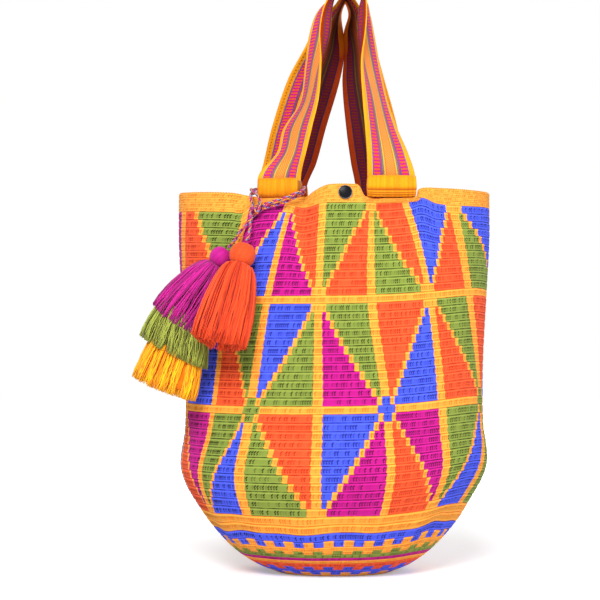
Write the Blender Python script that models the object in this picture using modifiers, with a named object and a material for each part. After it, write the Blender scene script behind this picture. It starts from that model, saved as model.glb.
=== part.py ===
"""Crocheted bucket tote with two woven handles, a round badge and a pair of thread tassels on a cord.

Metres, +Z up. The origin is under the middle of the bag's base, and the front faces -Y.
"""

import math

import bmesh
import bpy
from mathutils import Vector

# Body: its height to the rim, half width and half depth, and the section at each height as shares of them
RIM_HEIGHT = 0.380
BODY_HALF_WIDTH = 0.1545
BODY_HALF_DEPTH = 0.102
PROFILE = (
    (0.000, 0.362, 0.392),
    (0.024, 0.505, 0.549),
    (0.063, 0.647, 0.696),
    (0.116, 0.770, 0.814),
    (0.174, 0.874, 0.912),
    (0.232, 0.958, 0.980),
    (0.284, 0.990, 1.000),
    (0.374, 0.961, 0.961),
    (0.526, 0.958, 0.941),
    (0.711, 0.981, 0.922),
    (0.868, 1.000, 0.873),
    (1.000, 1.000, 0.814),
)
SECTION_POWER = 2.3
WALL = 0.003
GAP = 0.0003

# Bands of the body, by height at the front
RIM_BAND = 0.017
LINE_HEIGHTS = (0.270, 0.165)
LINE_WIDTH = 0.0075
BAND_TOP = 0.0635
BASE_LEVELS = (0.0490, 0.0375, 0.0280, 0.0240, 0.0195, 0.0155, 0.0100, 0.0045)
FLAT_SHARES = (1.0, 0.62, 0.28)
TIER_ROWS = 4

# How far the rim's edge and the top of the panels drop at places along X, on the front and on the rear
FRONT_RIM = (
    (-0.1520, 0.0050), (-0.1000, 0.0076), (-0.0830, 0.0110), (-0.0775, 0.0117), (-0.0285, 0.0117),
    (-0.0220, 0.0075), (-0.0120, 0.0020), (-0.0040, 0.0000), (0.0180, 0.0000), (0.0225, 0.0016),
    (0.0292, 0.0117), (0.0805, 0.0117), (0.0875, 0.0045), (0.1000, 0.0030), (0.1520, 0.0045),
)
REAR_RIM = (
    (-0.1520, 0.0050), (-0.1000, 0.0076), (-0.0850, 0.0108), (-0.0795, 0.0117), (-0.0260, 0.0117),
    (-0.0140, 0.0030), (0.0000, 0.0000), (0.0110, 0.0030), (0.0235, 0.0117), (0.0800, 0.0117),
    (0.0900, 0.0050), (0.1520, 0.0045),
)
FRONT_PANELS = (
    (-0.1520, 0.0060), (-0.1000, 0.0085), (-0.0900, 0.0095), (-0.0800, 0.0035), (-0.0700, 0.0015),
    (-0.0450, 0.0015), (-0.0340, 0.0048), (-0.0250, 0.0040), (-0.0130, 0.0005), (0.0000, 0.0000),
    (0.0280, 0.0000), (0.0500, 0.0000), (0.0640, -0.0012), (0.0740, -0.0015), (0.0860, 0.0012),
    (0.1200, 0.0032), (0.1520, 0.0035),
)
REAR_PANELS = (
    (-0.1520, 0.0060), (-0.1000, 0.0080), (-0.0800, 0.0030), (-0.0300, 0.0020), (0.0000, 0.0000),
    (0.0300, 0.0020), (0.0800, 0.0010), (0.1000, 0.0030), (0.1520, 0.0035),
)
RIGHT_RISE = 0.009
RISE_MIDDLE = math.radians(62)
RISE_SPREAD = math.radians(38)

# Tucks that run down from the rim beside the handles: place, depth and half width
TUCKS_X = (-0.030, 0.0370)
TUCK_DEPTH = 0.0050
TUCK_HALF_WIDTH = 0.0085
TUCK_LENGTH = 0.100
# The turned crease low on the right: its depth, half width, and its place along X at three heights
CREASE_DEPTH = 0.0035
CREASE_HALF_WIDTH = 0.010
CREASE_PATH = ((0.030, 0.090), (0.070, 0.126), (0.130, 0.146))
CREASE_FADE = 0.030

# Panels: where the upright lines cross the rim, the two level lines and the base band, as shares of
# the half width
LINES_X = (
    (-0.948, -0.975, -0.993, -0.985),
    (-0.545, -0.706, -0.811, -0.909),
    (-0.261, -0.452, -0.580, -0.665),
    (-0.095, -0.130, -0.146, -0.163),
    (0.218, 0.200, 0.305, 0.319),
    (0.377, 0.574, 0.667, 0.669),
    (0.681, 0.835, 0.959, 0.926),
)
REAR_LINES = 5
UPRIGHT_WIDTH = 0.0095
DIAGONAL_WIDTH = 0.0060
PANEL_SPAN = 0.066
PANEL_MARGIN = 0.06

# Handles
STRAP_WIDTH = 0.056
STRAP_THICK = 0.0026
STRAP_ACROSS = 8
STRAP_RINGS = 30
STRAP_SEAM = 0.011
STRAP_EASE = 0.0010
# Where the bound ends lie along X on the front rim and on the rear rim
FRONT_LEFT_END = (-0.0750, -0.0340)
FRONT_RIGHT_END = (0.0315, 0.0780)
REAR_LEFT_END = (-0.0790, -0.0270)
REAR_RIGHT_END = (0.0240, 0.0790)
HANDLE_TOP = 0.578
HANDLE_TOP_X = 0.0125
# The handles' free stations: place along X as a share of the half width, place along Y as a share of the
# rim's half depth, share of the way from the rolls to the top, turn of the band about the upright in degrees,
# share of the full width, and how far the band bows out of its plane
FRONT_LEFT = (
    (-0.2738, -0.837, 0.12, -47, 0.74, 0.0),
    (-0.2362, -0.741, 0.247, -55, 0.86, 0.0),
    (-0.1631, -0.627, 0.395, -71, 0.96, 0.0),
    (-0.1379, -0.512, 0.586, -74, 0.95, 0.0055),
    (-0.1294, -0.445, 0.745, -77, 0.8, 0.0145),
    (-0.0906, -0.4, 0.873, -82, 0.84, 0.0105),
    (-0.0129, -0.36, 0.955, -88, 0.96, 0.003),
)
FRONT_RIGHT = (
    (0.1877, -0.36, 0.955, -88, 0.96, -0.0025),
    (0.2136, -0.4, 0.862, -84, 0.86, -0.009),
    (0.2233, -0.44, 0.745, -77, 0.84, -0.0105),
    (0.2278, -0.512, 0.586, -68, 0.95, -0.005),
    (0.2557, -0.627, 0.395, -62, 1.0, 0.0),
    (0.2900, -0.741, 0.247, -50, 0.91, 0.0),
    (0.3236, -0.837, 0.12, -25, 0.79, 0.0),
)
REAR_LEFT = (
    (-0.2880, 0.843, 0.12, 4, 0.98, 0.0),
    (-0.2265, 0.675, 0.31, 8, 1.0, 0.0),
    (-0.1314, 0.47, 0.554, 20, 1.0, 0.0),
    (-0.0654, 0.38, 0.713, 44, 1.0, 0.0),
    (-0.0356, 0.361, 0.825, 60, 1.0, 0.0),
    (0.0259, 0.371, 0.928, 83, 1.0, 0.0),
)
REAR_RIGHT = (
    (0.1392, 0.371, 0.928, 82, 1.0, 0.0),
    (0.1618, 0.361, 0.825, 66, 0.93, 0.0),
    (0.1845, 0.38, 0.713, 53, 0.88, 0.0),
    (0.2058, 0.494, 0.554, 36, 0.91, 0.0),
    (0.2589, 0.687, 0.31, 11, 0.95, 0.0),
    (0.3010, 0.843, 0.12, 4, 0.98, 0.0),
)
FRONT_TOP_Y = -0.349
REAR_TOP_Y = 0.361
# Where across the band the bow stands out most
BOW_PEAK = 0.625
BOW_POWER = 1.3

# Wound rolls that bind the handle ends
ROLL_HEIGHT = 0.0210
ROLL_SEAT = 0.0115
ROLL_DEPTH = 0.0125
ROLL_TURNS = 7
ROLL_SIDES = 14
ROLL_END = 0.0008
ROLL_TIP = 0.62
ROLL_VALLEY = 0.90
# The waist above the second, thinner roll: its depth, height and spread as shares of the section
WAIST_DEPTH = 0.34
WAIST_HEIGHT = -0.42
WAIST_SPREAD = 0.16

# Badge and its backing washer
BADGE_X = 0.0092
BADGE_DROP = 0.0075
BADGE_RADIUS = 0.0068
BADGE_THICK = 0.0022
# The badge's domed face, as (share of its radius, drop below its top)
BADGE_DOME = ((0.62, 0.0001), (0.86, 0.0005), (1.0, 0.0011))
TURN_STEPS = 24
POST_RADIUS = 0.0014
POST_CLEARANCE = 0.0003
BACKING_RADIUS = 0.0050
BACKING_THICK = 0.0012

# Cord and tassels
CORD_RADIUS = 0.0015
ORANGE_BALL = Vector((-0.0885, -0.0975, 0.3125))
ORANGE_BALL_RADIUS = 0.0128
MAGENTA_BALL = Vector((-0.1095, -0.0850, 0.3105))
MAGENTA_BALL_RADIUS = 0.0110
ORANGE_HEM = Vector((-0.1100, -0.1270, 0.2290))
MAGENTA_HEM = Vector((-0.1510, -0.0880, 0.2480))
OLIVE_HEM = Vector((-0.1550, -0.0850, 0.2185))
YELLOW_HEM = Vector((-0.1645, -0.0830, 0.1840))
ORANGE_HEM_HALF = 0.0275
MAGENTA_HEM_HALF = 0.0300
OLIVE_HEM_HALF = 0.0365
# Lean of each lower tier's hem from the level, to the left, in degrees
OLIVE_LEAN = 27
YELLOW_LEAN = 22
YELLOW_HEM_HALF = 0.0330
SKIRT_FLATNESS = 0.50
NECK_RADIUS = 0.0098
SKIRT_FLUTES = 11
SKIRT_SIDES = 44
SKIRT_RINGS = 6
FLUTE_DEPTH = 0.05
HEM_WAVE = 0.0020
HEM_WAVES = 3
# How fast a tassel's threads spread below its neck: the lower, the faster
ORANGE_SWELL = 0.42
MAGENTA_SWELL = 0.60
LOWER_SWELL = 1.0
# Half width of each lower tier's top as a share of the hem above it
OLIVE_NECK = 0.94
YELLOW_NECK = 0.80
FLUTE_SHIFT = 1.3
BALL_SEGMENTS = 14
BALL_RINGS = 9

COLOURS = {
    "yellow": (0.86, 0.42, 0.03),
    "magenta": (0.42, 0.01, 0.14),
    "green": (0.19, 0.21, 0.02),
    "blue": (0.06, 0.11, 0.66),
    "orange": (0.80, 0.13, 0.02),
    "gold": (0.80, 0.30, 0.01),
    "woven": (0.62, 0.20, 0.10),
    "black": (0.01, 0.01, 0.01),
    "steel": (0.55, 0.55, 0.55),
    "braid": (0.40, 0.12, 0.12),
}
# Panel colours by tier, each column of a tier as (upper, lower), from the left edge of the front
TIER_COLOURS = (
    "green orange|magenta blue|orange magenta|green orange|orange green|blue orange|blue green"
    "|magenta orange|orange green|blue magenta|green blue|green magenta",
    "orange blue|green orange|blue green|green magenta|orange blue|green orange|orange blue"
    "|green magenta|blue orange|orange green|magenta blue|blue orange",
    "magenta orange|green blue|orange green|blue magenta|magenta orange|green blue|magenta green"
    "|orange blue|green magenta|blue orange|orange green|magenta blue",
)
BASE_COLOURS = ("yellow", "blue", "yellow", "green", "magenta", "yellow", "orange", "blue", "yellow")


def clear_scene():
    for thing in list(bpy.data.objects):
        bpy.data.objects.remove(thing, do_unlink=True)


def material(name, metallic=0.0, roughness=0.85):
    """A plain Principled material in one of the named colours."""
    made = bpy.data.materials.get(name)
    if made is None:
        made = bpy.data.materials.new(name)
        made.use_nodes = True
        shader = made.node_tree.nodes["Principled BSDF"]
        shader.inputs["Base Color"].default_value = (*COLOURS[name], 1.0)
        shader.inputs["Metallic"].default_value = metallic
        shader.inputs["Roughness"].default_value = roughness
        made.diffuse_color = (*COLOURS[name], 1.0)
    return made


def collection(name):
    made = bpy.data.collections.new(name)
    bpy.context.scene.collection.children.link(made)
    return made


def smooth_step(value):
    value = min(max(value, 0.0), 1.0)
    return value * value * (3 - 2 * value)


def bell(distance, half_width):
    """One at the middle, falling smoothly to nothing over about two half widths."""
    return math.exp(-((distance / half_width) ** 2))


def curve_through(stops, at):
    """A smooth value at a place along sorted stops of (place, value); a value is a number or a Vector."""
    if at <= stops[0][0]:
        return stops[0][1]
    if at >= stops[-1][0]:
        return stops[-1][1]
    last = len(stops) - 1
    i = next(k for k in range(last) if at <= stops[k + 1][0])
    (a, start), (b, end) = stops[i], stops[i + 1]
    before = stops[max(i - 1, 0)]
    after = stops[min(i + 2, last)]
    slope_in = (end - before[1]) * (1 / (b - before[0]))
    slope_out = (after[1] - start) * (1 / (after[0] - a))
    t = (at - a) / (b - a)
    reach = b - a
    return (
        start * (2 * t**3 - 3 * t**2 + 1)
        + slope_in * (reach * (t**3 - 2 * t**2 + t))
        + end * (3 * t**2 - 2 * t**3)
        + slope_out * (reach * (t**3 - t**2))
    )


WIDTHS = [(z * RIM_HEIGHT, a * BODY_HALF_WIDTH) for z, a, _ in PROFILE]
DEPTHS = [(z * RIM_HEIGHT, b * BODY_HALF_DEPTH) for z, _, b in PROFILE]
RIM_WIDTH = WIDTHS[-1][1]
RIM_DEPTH = DEPTHS[-1][1]


def angle_at(x, half_width):
    """The angle from the middle of the front at which the section crosses x."""
    share = min(abs(x) / half_width, 1.0)
    return math.copysign(math.asin(share ** (SECTION_POWER / 2)), x)


def rim_drop(angle, z):
    """How far a row drops at this angle: as the rim's edge at the top, and as the panels below it."""
    x = RIM_WIDTH * math.copysign(abs(math.sin(angle)) ** (2 / SECTION_POWER), math.sin(angle))
    front = math.cos(angle) > 0
    edge = curve_through(FRONT_RIM if front else REAR_RIM, x)
    panels = curve_through(FRONT_PANELS if front else REAR_PANELS, x)
    band = smooth_step((z - RIM_HEIGHT + RIM_BAND) / RIM_BAND)
    upper = smooth_step((z - LINE_HEIGHTS[0]) / (RIM_HEIGHT - RIM_BAND - LINE_HEIGHTS[0]))
    return (panels + (edge - panels) * band) * upper


def lift(angle, z):
    """How far the rows ride above their height at the front: drops near the rim and a rise on the right."""
    middle = math.sin(math.pi * min(max((z - BAND_TOP) / (RIM_HEIGHT - BAND_TOP), 0.0), 1.0))
    away = math.remainder(angle - RISE_MIDDLE, math.tau)
    return RIGHT_RISE * middle * bell(away, RISE_SPREAD) - rim_drop(angle, z)


def folds(x, angle, z):
    """How far the surface moves outwards: inwards in its tucks and in its crease."""
    fade = smooth_step(1 - (RIM_HEIGHT - z) / TUCK_LENGTH)
    moved = -TUCK_DEPTH * fade * max(bell(x - place, TUCK_HALF_WIDTH) for place in TUCKS_X)
    if math.cos(angle) > 0:
        first, last = CREASE_PATH[0][0], CREASE_PATH[-1][0]
        low = smooth_step((z - first) / CREASE_FADE) * smooth_step((last - z) / CREASE_FADE)
        edge = curve_through(CREASE_PATH, z)
        moved -= CREASE_DEPTH * low * bell(x - edge, CREASE_HALF_WIDTH)
    return moved


def wall_point(angle, z, inset=0.0):
    """A point of the body's outer face, or as far inside it as inset says, at an angle and a height."""
    a = curve_through(WIDTHS, z)
    b = curve_through(DEPTHS, z)
    sine, cosine = math.sin(angle), math.cos(angle)
    x = a * math.copysign(abs(sine) ** (2 / SECTION_POWER), sine)
    y = -b * math.copysign(abs(cosine) ** (2 / SECTION_POWER), cosine)
    outward = Vector((x / a**2, y / b**2, 0)).normalized()
    outward *= (folds(x, angle, z) if cosine > 0 else 0.0) - inset
    return Vector((x, y, z + lift(angle, z))) + outward


def front_point(x, z, inset=0.0, rear=False):
    """The point of the front or rear wall at x."""
    angle = angle_at(x, curve_through(WIDTHS, z))
    return wall_point(math.pi - angle if rear else angle, z, inset)


def line_angles(z):
    """The angles of the upright lines at a height, once round from the left edge of the front."""
    stops = (BAND_TOP, LINE_HEIGHTS[1], LINE_HEIGHTS[0], RIM_HEIGHT)
    angles = [angle_at(curve_through(list(zip(stops, reversed(line))), z), 1.0) for line in LINES_X]
    span = (math.tau + angles[0] - angles[-1]) / (REAR_LINES + 1)
    return angles + [angles[-1] + span * (k + 1) for k in range(REAR_LINES)]


def column_angles(z, tier, share):
    """The angles of every column at a height: each panel has its line, two fields and a slanted line."""
    lines = line_angles(z)
    angles = []
    line_share = UPRIGHT_WIDTH / PANEL_SPAN
    slant = DIAGONAL_WIDTH / PANEL_SPAN
    for k, start in enumerate(lines):
        end = lines[k + 1] if k + 1 < len(lines) else lines[0] + math.tau
        falls = (k + tier) % 2 == 0
        place = share if falls else 1 - share
        low = line_share + (1 - line_share - slant) * (PANEL_MARGIN + (1 - 2 * PANEL_MARGIN) * place)
        shares = (0.0, line_share, (line_share + low) / 2, low, low + slant, (1 + low + slant) / 2)
        angles += [start + (end - start) * s for s in shares]
    return angles


def panel_colour(column, tier):
    """The colour of one column of cells in a tier."""
    panel, part = divmod(column, 6)
    if part in (0, 3):
        return "yellow"
    upper, lower = TIER_COLOURS[tier].split("|")[panel].split()
    falls = (panel + tier) % 2 == 0
    left = part in (1, 2)
    return lower if left == falls else upper


def body_levels():
    """Every ring of the body from the rim down: height, tier, share of the tier, colour rule below it."""
    edges = (RIM_HEIGHT - RIM_BAND, *LINE_HEIGHTS, BAND_TOP)
    levels = [(RIM_HEIGHT, 0, 0.0, "yellow"), (RIM_HEIGHT - RIM_BAND / 2, 0, 0.0, "yellow")]
    for tier in range(3):
        top = edges[tier] - (LINE_WIDTH / 2 if tier else 0.0)
        bottom = edges[tier + 1] + (LINE_WIDTH / 2 if tier < 2 else 0.0)
        for row in range(TIER_ROWS):
            share = row / TIER_ROWS
            levels.append((top + (bottom - top) * share, tier, share, "panels"))
        levels.append((bottom, tier, 1.0, "yellow"))
    levels += [(z, 2, 1.0, BASE_COLOURS[k + 1]) for k, z in enumerate(BASE_LEVELS)]
    return levels


def build_body(parts, cutters):
    """The crocheted body: one open surface from rim to base, thickened inwards."""
    mesh = bmesh.new()
    rings = []
    rules = []
    for z, tier, share, rule in body_levels():
        angles = column_angles(z, tier, share)
        rings.append([mesh.verts.new(wall_point(angle, z)) for angle in angles])
        rules.append((tier, rule))
    rest = [wall_point(angle, 0.0) for angle in column_angles(0.0, 2, 1.0)]
    for share in FLAT_SHARES:
        rings.append([mesh.verts.new((p.x * share, p.y * share, 0.0)) for p in rest])
        rules.append((2, "orange" if share > FLAT_SHARES[1] else "blue"))
    names = ["yellow", "magenta", "green", "blue", "orange"]
    count = len(rings[0])
    for upper, lower, (tier, rule) in zip(rings, rings[1:], rules):
        for k in range(count):
            n = (k + 1) % count
            face = mesh.faces.new((lower[k], lower[n], upper[n], upper[k]))
            face.material_index = names.index(panel_colour(k, tier) if rule == "panels" else rule)
            face.smooth = True
    mesh.faces.new(rings[-1][::-1]).material_index = names.index("yellow")
    body = object_from(mesh, "bag_body", parts, names)
    shell = body.modifiers.new("wall", "SOLIDIFY")
    shell.thickness = WALL
    shell.offset = -1.0
    shell.use_even_offset = True
    hole = body.modifiers.new("badge_hole", "BOOLEAN")
    hole.operation = "DIFFERENCE"
    hole.solver = "EXACT"
    hole.object = post_cutter(cutters)


def object_from(mesh, name, parts, materials):
    """An object that owns the finished bmesh."""
    data = bpy.data.meshes.new(name)
    bmesh.ops.recalc_face_normals(mesh, faces=mesh.faces)
    mesh.to_mesh(data)
    mesh.free()
    for one in materials:
        data.materials.append(material(one))
    made = bpy.data.objects.new(name, data)
    parts.objects.link(made)
    return made


def loft(name, rings, parts, materials, smooth=True):
    """A closed solid through rings of points, capped at both ends."""
    mesh = bmesh.new()
    made = [[mesh.verts.new(point) for point in ring] for ring in rings]
    count = len(rings[0])
    for first, second in zip(made, made[1:]):
        for k in range(count):
            n = (k + 1) % count
            mesh.faces.new((first[k], first[n], second[n], second[k])).smooth = smooth
    for ring in (made[0], made[-1]):
        middle = mesh.verts.new(sum((v.co for v in ring), Vector()) / count)
        for k in range(count):
            mesh.faces.new((ring[k], ring[(k + 1) % count], middle))
    return object_from(mesh, name, parts, materials)


def badge_place():
    """The middle of the badge on the rim's face, and the way it faces."""
    z = RIM_HEIGHT - BADGE_DROP
    middle = front_point(BADGE_X, z)
    along = front_point(BADGE_X + BADGE_RADIUS, z) - front_point(BADGE_X - BADGE_RADIUS, z)
    up = front_point(BADGE_X, RIM_HEIGHT) - front_point(BADGE_X, RIM_HEIGHT - BADGE_DROP * 2)
    return middle, along.cross(up).normalized()


def post_cutter(cutters):
    """The cylinder that cuts the badge's hole through the rim."""
    middle, facing = badge_place()
    bpy.ops.mesh.primitive_cylinder_add(
        vertices=16, radius=POST_RADIUS + POST_CLEARANCE, depth=WALL * 6, location=middle
    )
    made = bpy.context.object
    made.name = "post_cutter"
    made.rotation_euler = facing.to_track_quat("Z", "Y").to_euler()
    made.hide_render = True
    made.display_type = "WIRE"
    for owner in list(made.users_collection):
        owner.objects.unlink(made)
    cutters.objects.link(made)
    return made


def turned(name, profile, parts, colour, middle, facing, metallic=0.0, roughness=0.3):
    """A turned piece from a profile of (radius, height), standing along the way that it faces."""
    data = bpy.data.meshes.new(name)
    data.from_pydata([(r, 0, z) for r, z in profile], [(k, k + 1) for k in range(len(profile) - 1)], [])
    data.materials.append(material(colour, metallic, roughness))
    made = bpy.data.objects.new(name, data)
    parts.objects.link(made)
    made.location = middle
    made.rotation_euler = facing.to_track_quat("Z", "Y").to_euler()
    screw = made.modifiers.new("turn", "SCREW")
    screw.steps = TURN_STEPS
    screw.render_steps = TURN_STEPS
    screw.use_merge_vertices = True
    screw.merge_threshold = 0.00001
    screw.use_smooth_shade = True
    return made


def build_badge(parts):
    """The domed disc with its post, and the washer that holds it inside the rim."""
    middle, facing = badge_place()
    seat = GAP * 2
    top = seat + BADGE_THICK
    end = -(WALL + GAP * 3 + BACKING_THICK)
    turned(
        "badge_disc",
        (
            (0.0, top),
            *((BADGE_RADIUS * share, top - drop) for share, drop in BADGE_DOME),
            (BADGE_RADIUS, seat),
            (POST_RADIUS, seat),
            (POST_RADIUS, end),
            (0.0, end),
        ),
        parts, "black", middle, facing,
    )
    near = -(WALL + GAP * 2)
    hole = POST_RADIUS + POST_CLEARANCE
    turned(
        "badge_backing",
        (
            (hole, near),
            (BACKING_RADIUS, near),
            (BACKING_RADIUS, near - BACKING_THICK),
            (hole, near - BACKING_THICK),
            (hole, near),
        ),
        parts, "steel", middle, facing, metallic=1.0,
    )


def strap_end(ends, z, rear):
    """The two edge points of a handle's sewn end, straight across, just clear of the rim's inner face."""
    inset = WALL + GAP + STRAP_THICK / 2
    across = [ends[0] + (ends[1] - ends[0]) * k / STRAP_ACROSS for k in range(STRAP_ACROSS + 1)]
    wall = [front_point(x, z, inset, rear) for x in across]
    facing = -1 if rear else 1
    sag = max(
        facing * (p.y - wall[0].lerp(wall[-1], k / STRAP_ACROSS).y) for k, p in enumerate(wall)
    )
    moved = Vector((0, facing * (sag + STRAP_EASE), 0))
    return wall[0] + moved, wall[-1] + moved


def free_edges(station, side):
    """The outer and inner edge of a handle at one free station, on the left (1) or on the right (-1)."""
    x, deep, high, turn, share, _ = station
    low = RIM_HEIGHT - ROLL_SEAT + ROLL_HEIGHT
    middle = Vector((x * BODY_HALF_WIDTH, deep * RIM_DEPTH, low + high * (HANDLE_TOP - low)))
    turn = math.radians(turn)
    reach = Vector((side * math.cos(turn), math.sin(turn), 0)) * share * STRAP_WIDTH / 2
    return middle - reach, middle + reach


def strap_stations(left_end, right_end, left, right, top_y, rear):
    """A handle's route from the left end to the right, as (outer edge, inner edge, bow)."""
    low, high = RIM_HEIGHT - STRAP_SEAM, RIM_HEIGHT
    clear = Vector((0, 0, ROLL_HEIGHT + GAP))
    first = strap_end(left_end, high, rear)
    rows = [strap_end(left_end, low, rear), first, tuple(edge + clear for edge in first)]
    rows += [free_edges(station, 1) for station in left]
    half = STRAP_WIDTH / 2
    side = 1 if rear else -1
    apex = Vector((HANDLE_TOP_X, top_y * RIM_DEPTH, HANDLE_TOP - STRAP_THICK / 2))
    rows.append((apex - Vector((0, side * half, 0)), apex + Vector((0, side * half, 0))))
    rows += [free_edges(station, -1) for station in right]
    end = tuple(reversed(right_end))
    last = strap_end(end, high, rear)
    rows += [tuple(edge + clear for edge in last), last, strap_end(end, low, rear)]
    sewn = [0.0] * 3
    bows = sewn + [station[-1] for station in left] + [0.0] + [station[-1] for station in right] + sewn
    return [(*edges, bow) for edges, bow in zip(rows, bows)]


def band_row(outer, inner, bow):
    """The points across a band, bowed level and square to the line from edge to edge."""
    across = inner - outer
    away = Vector((-across.y, across.x, 0)).normalized() * bow
    points = []
    for k in range(STRAP_ACROSS + 1):
        share = k / STRAP_ACROSS
        if share < BOW_PEAK:
            height = (share / BOW_PEAK) ** BOW_POWER
        else:
            height = (1 - share) / (1 - BOW_PEAK)
        points.append(outer.lerp(inner, share) + away * height)
    return points


def build_strap(name, stations, parts):
    """A woven band through its stations: a strip of the band's width, thickened to both sides."""
    places = [0.0]
    for (a, b, _), (c, d, _) in zip(stations, stations[1:]):
        places.append(places[-1] + ((c + d) / 2 - (a + b) / 2).length)
    outers, inners, bows = ([(s, row[k]) for s, row in zip(places, stations)] for k in range(3))
    mesh = bmesh.new()
    rows = []
    for ring in range(STRAP_RINGS + 1):
        at = places[-1] * ring / STRAP_RINGS
        row = band_row(*(curve_through(line, at) for line in (outers, inners, bows)))
        rows.append([mesh.verts.new(point) for point in row])
    for first, second in zip(rows, rows[1:]):
        for k in range(STRAP_ACROSS):
            mesh.faces.new((first[k], first[k + 1], second[k + 1], second[k])).smooth = True
    strap = object_from(mesh, name, parts, ["woven"])
    band = strap.modifiers.new("thickness", "SOLIDIFY")
    band.thickness = STRAP_THICK
    band.offset = 0.0


def roll_radius(turn, thin):
    """The roll's section as shares of depth and height; a second, thinner roll swells its lower part."""
    across, up = math.cos(turn), math.sin(turn)
    if thin and up < 0:
        waist = 1 - WAIST_DEPTH * bell(up - WAIST_HEIGHT, WAIST_SPREAD)
        return across * waist, up
    return across, up


def rim_height_under(ends, rear):
    """The highest place of the rim's top edge between two ends, along the runs between its corners."""
    corners = [wall_point(angle, RIM_HEIGHT) for angle in column_angles(RIM_HEIGHT, 0, 0.0)]
    heights = []
    for a, b in zip(corners, corners[1:] + corners[:1]):
        if (a.y > 0) != rear or (b.y > 0) != rear:
            continue
        low, high = max(min(a.x, b.x), ends[0]), min(max(a.x, b.x), ends[1])
        if low < high:
            heights += [a.lerp(b, (x - a.x) / (b.x - a.x)).z for x in (low, high)]
    return max(heights)


def build_roll(name, ends, rear, parts, thin=False):
    """A bundle of thread wound about a level axis, on top of the rim and against its handle."""
    side = 1 if rear else -1
    rings = []
    count = ROLL_TURNS * 2
    base = rim_height_under(ends, rear) + GAP
    strap = strap_end(ends, RIM_HEIGHT, rear)
    off_strap = side * (STRAP_THICK / 2 + GAP * 2 + ROLL_DEPTH / 2)
    for k in range(-1, count + 2):
        share = min(max(k / count, 0.0), 1.0)
        past = ROLL_END * (max(k - count, 0) + min(k, 0))
        ridge = ROLL_TIP if k in (-1, count + 1) else (ROLL_VALLEY if k % 2 == 0 else 1.0)
        middle = strap[0].lerp(strap[1], share) + Vector((past, off_strap, 0))
        ring = []
        for n in range(ROLL_SIDES):
            across, up = roll_radius(math.tau * n / ROLL_SIDES, thin)
            deep = middle.y + across * ridge * ROLL_DEPTH / 2
            ring.append(Vector((middle.x, deep, base + (1 + up * ridge) * ROLL_HEIGHT / 2)))
        rings.append(ring)
    loft(name, rings, parts, ["gold"])


CORD_ROUTE = (
    (-0.1025, -0.0858, 0.3195),
    (-0.0952, -0.0850, 0.3280),
    (-0.0910, -0.0840, 0.3350),
    (-0.0825, -0.0835, 0.3450),
    (-0.0755, -0.0835, 0.3530),
    (-0.0680, -0.0850, 0.3575),
    (-0.0560, -0.0880, 0.3610),
    (-0.0450, -0.0900, 0.3645),
    (-0.0370, -0.0900, 0.3685),
    (-0.0310, -0.0860, 0.3720),
    (-0.0300, -0.0790, 0.3738),
    (-0.0305, -0.0715, 0.3745),
    (-0.0350, -0.0670, 0.3745),
    (-0.0560, -0.0665, 0.3740),
    (-0.0740, -0.0640, 0.3735),
    (-0.0795, -0.0690, 0.3722),
    (-0.0806, -0.0780, 0.3716),
    (-0.0808, -0.0856, 0.3685),
    (-0.0800, -0.0885, 0.3625),
    (-0.0780, -0.0895, 0.3570),
    (-0.0752, -0.0900, 0.3538),
    (-0.0725, -0.0895, 0.3570),
    (-0.0722, -0.0900, 0.3630),
    (-0.0735, -0.0925, 0.3682),
    (-0.0775, -0.0925, 0.3728),
    (-0.0802, -0.0880, 0.3750),
    (-0.0804, -0.0790, 0.3751),
    (-0.0797, -0.0690, 0.3757),
    (-0.0740, -0.0640, 0.3772),
    (-0.0560, -0.0665, 0.3778),
    (-0.0350, -0.0670, 0.3782),
    (-0.0305, -0.0715, 0.3780),
    (-0.0300, -0.0800, 0.3775),
    (-0.0305, -0.0880, 0.3750),
    (-0.0370, -0.0938, 0.3715),
    (-0.0450, -0.0938, 0.3680),
    (-0.0560, -0.0920, 0.3645),
    (-0.0680, -0.0880, 0.3610),
    (-0.0755, -0.0835, 0.3590),
    (-0.0810, -0.0835, 0.3560),
    (-0.0805, -0.0880, 0.3495),
    (-0.0812, -0.0913, 0.3420),
    (-0.0819, -0.0928, 0.3355),
    (-0.0830, -0.0944, 0.3300),
    (-0.0849, -0.0964, 0.3257),
)
CORD_POINTS = 78


def build_cord(parts):
    """The braided cord, hitched round the left end of the front handle, with a tassel at each end."""
    route = [Vector(point) for point in CORD_ROUTE]
    places = [0.0]
    for a, b in zip(route, route[1:]):
        places.append(places[-1] + (b - a).length)
    stops = list(zip(places, route))
    data = bpy.data.curves.new("tassel_cord", "CURVE")
    data.dimensions = "3D"
    data.bevel_depth = CORD_RADIUS
    data.bevel_resolution = 2
    data.use_fill_caps = True
    line = data.splines.new("POLY")
    line.points.add(CORD_POINTS - 1)
    for k, point in enumerate(line.points):
        point.co = (*curve_through(stops, places[-1] * k / (CORD_POINTS - 1)), 1.0)
    data.materials.append(material("braid"))
    made = bpy.data.objects.new("tassel_cord", data)
    parts.objects.link(made)


def build_ball(name, middle, radius, colour, parts):
    """A ball of wound thread."""
    mesh = bmesh.new()
    bmesh.ops.create_uvsphere(mesh, u_segments=BALL_SEGMENTS, v_segments=BALL_RINGS, radius=radius)
    for face in mesh.faces:
        face.smooth = True
    object_from(mesh, name, parts, [colour]).location = middle


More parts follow.
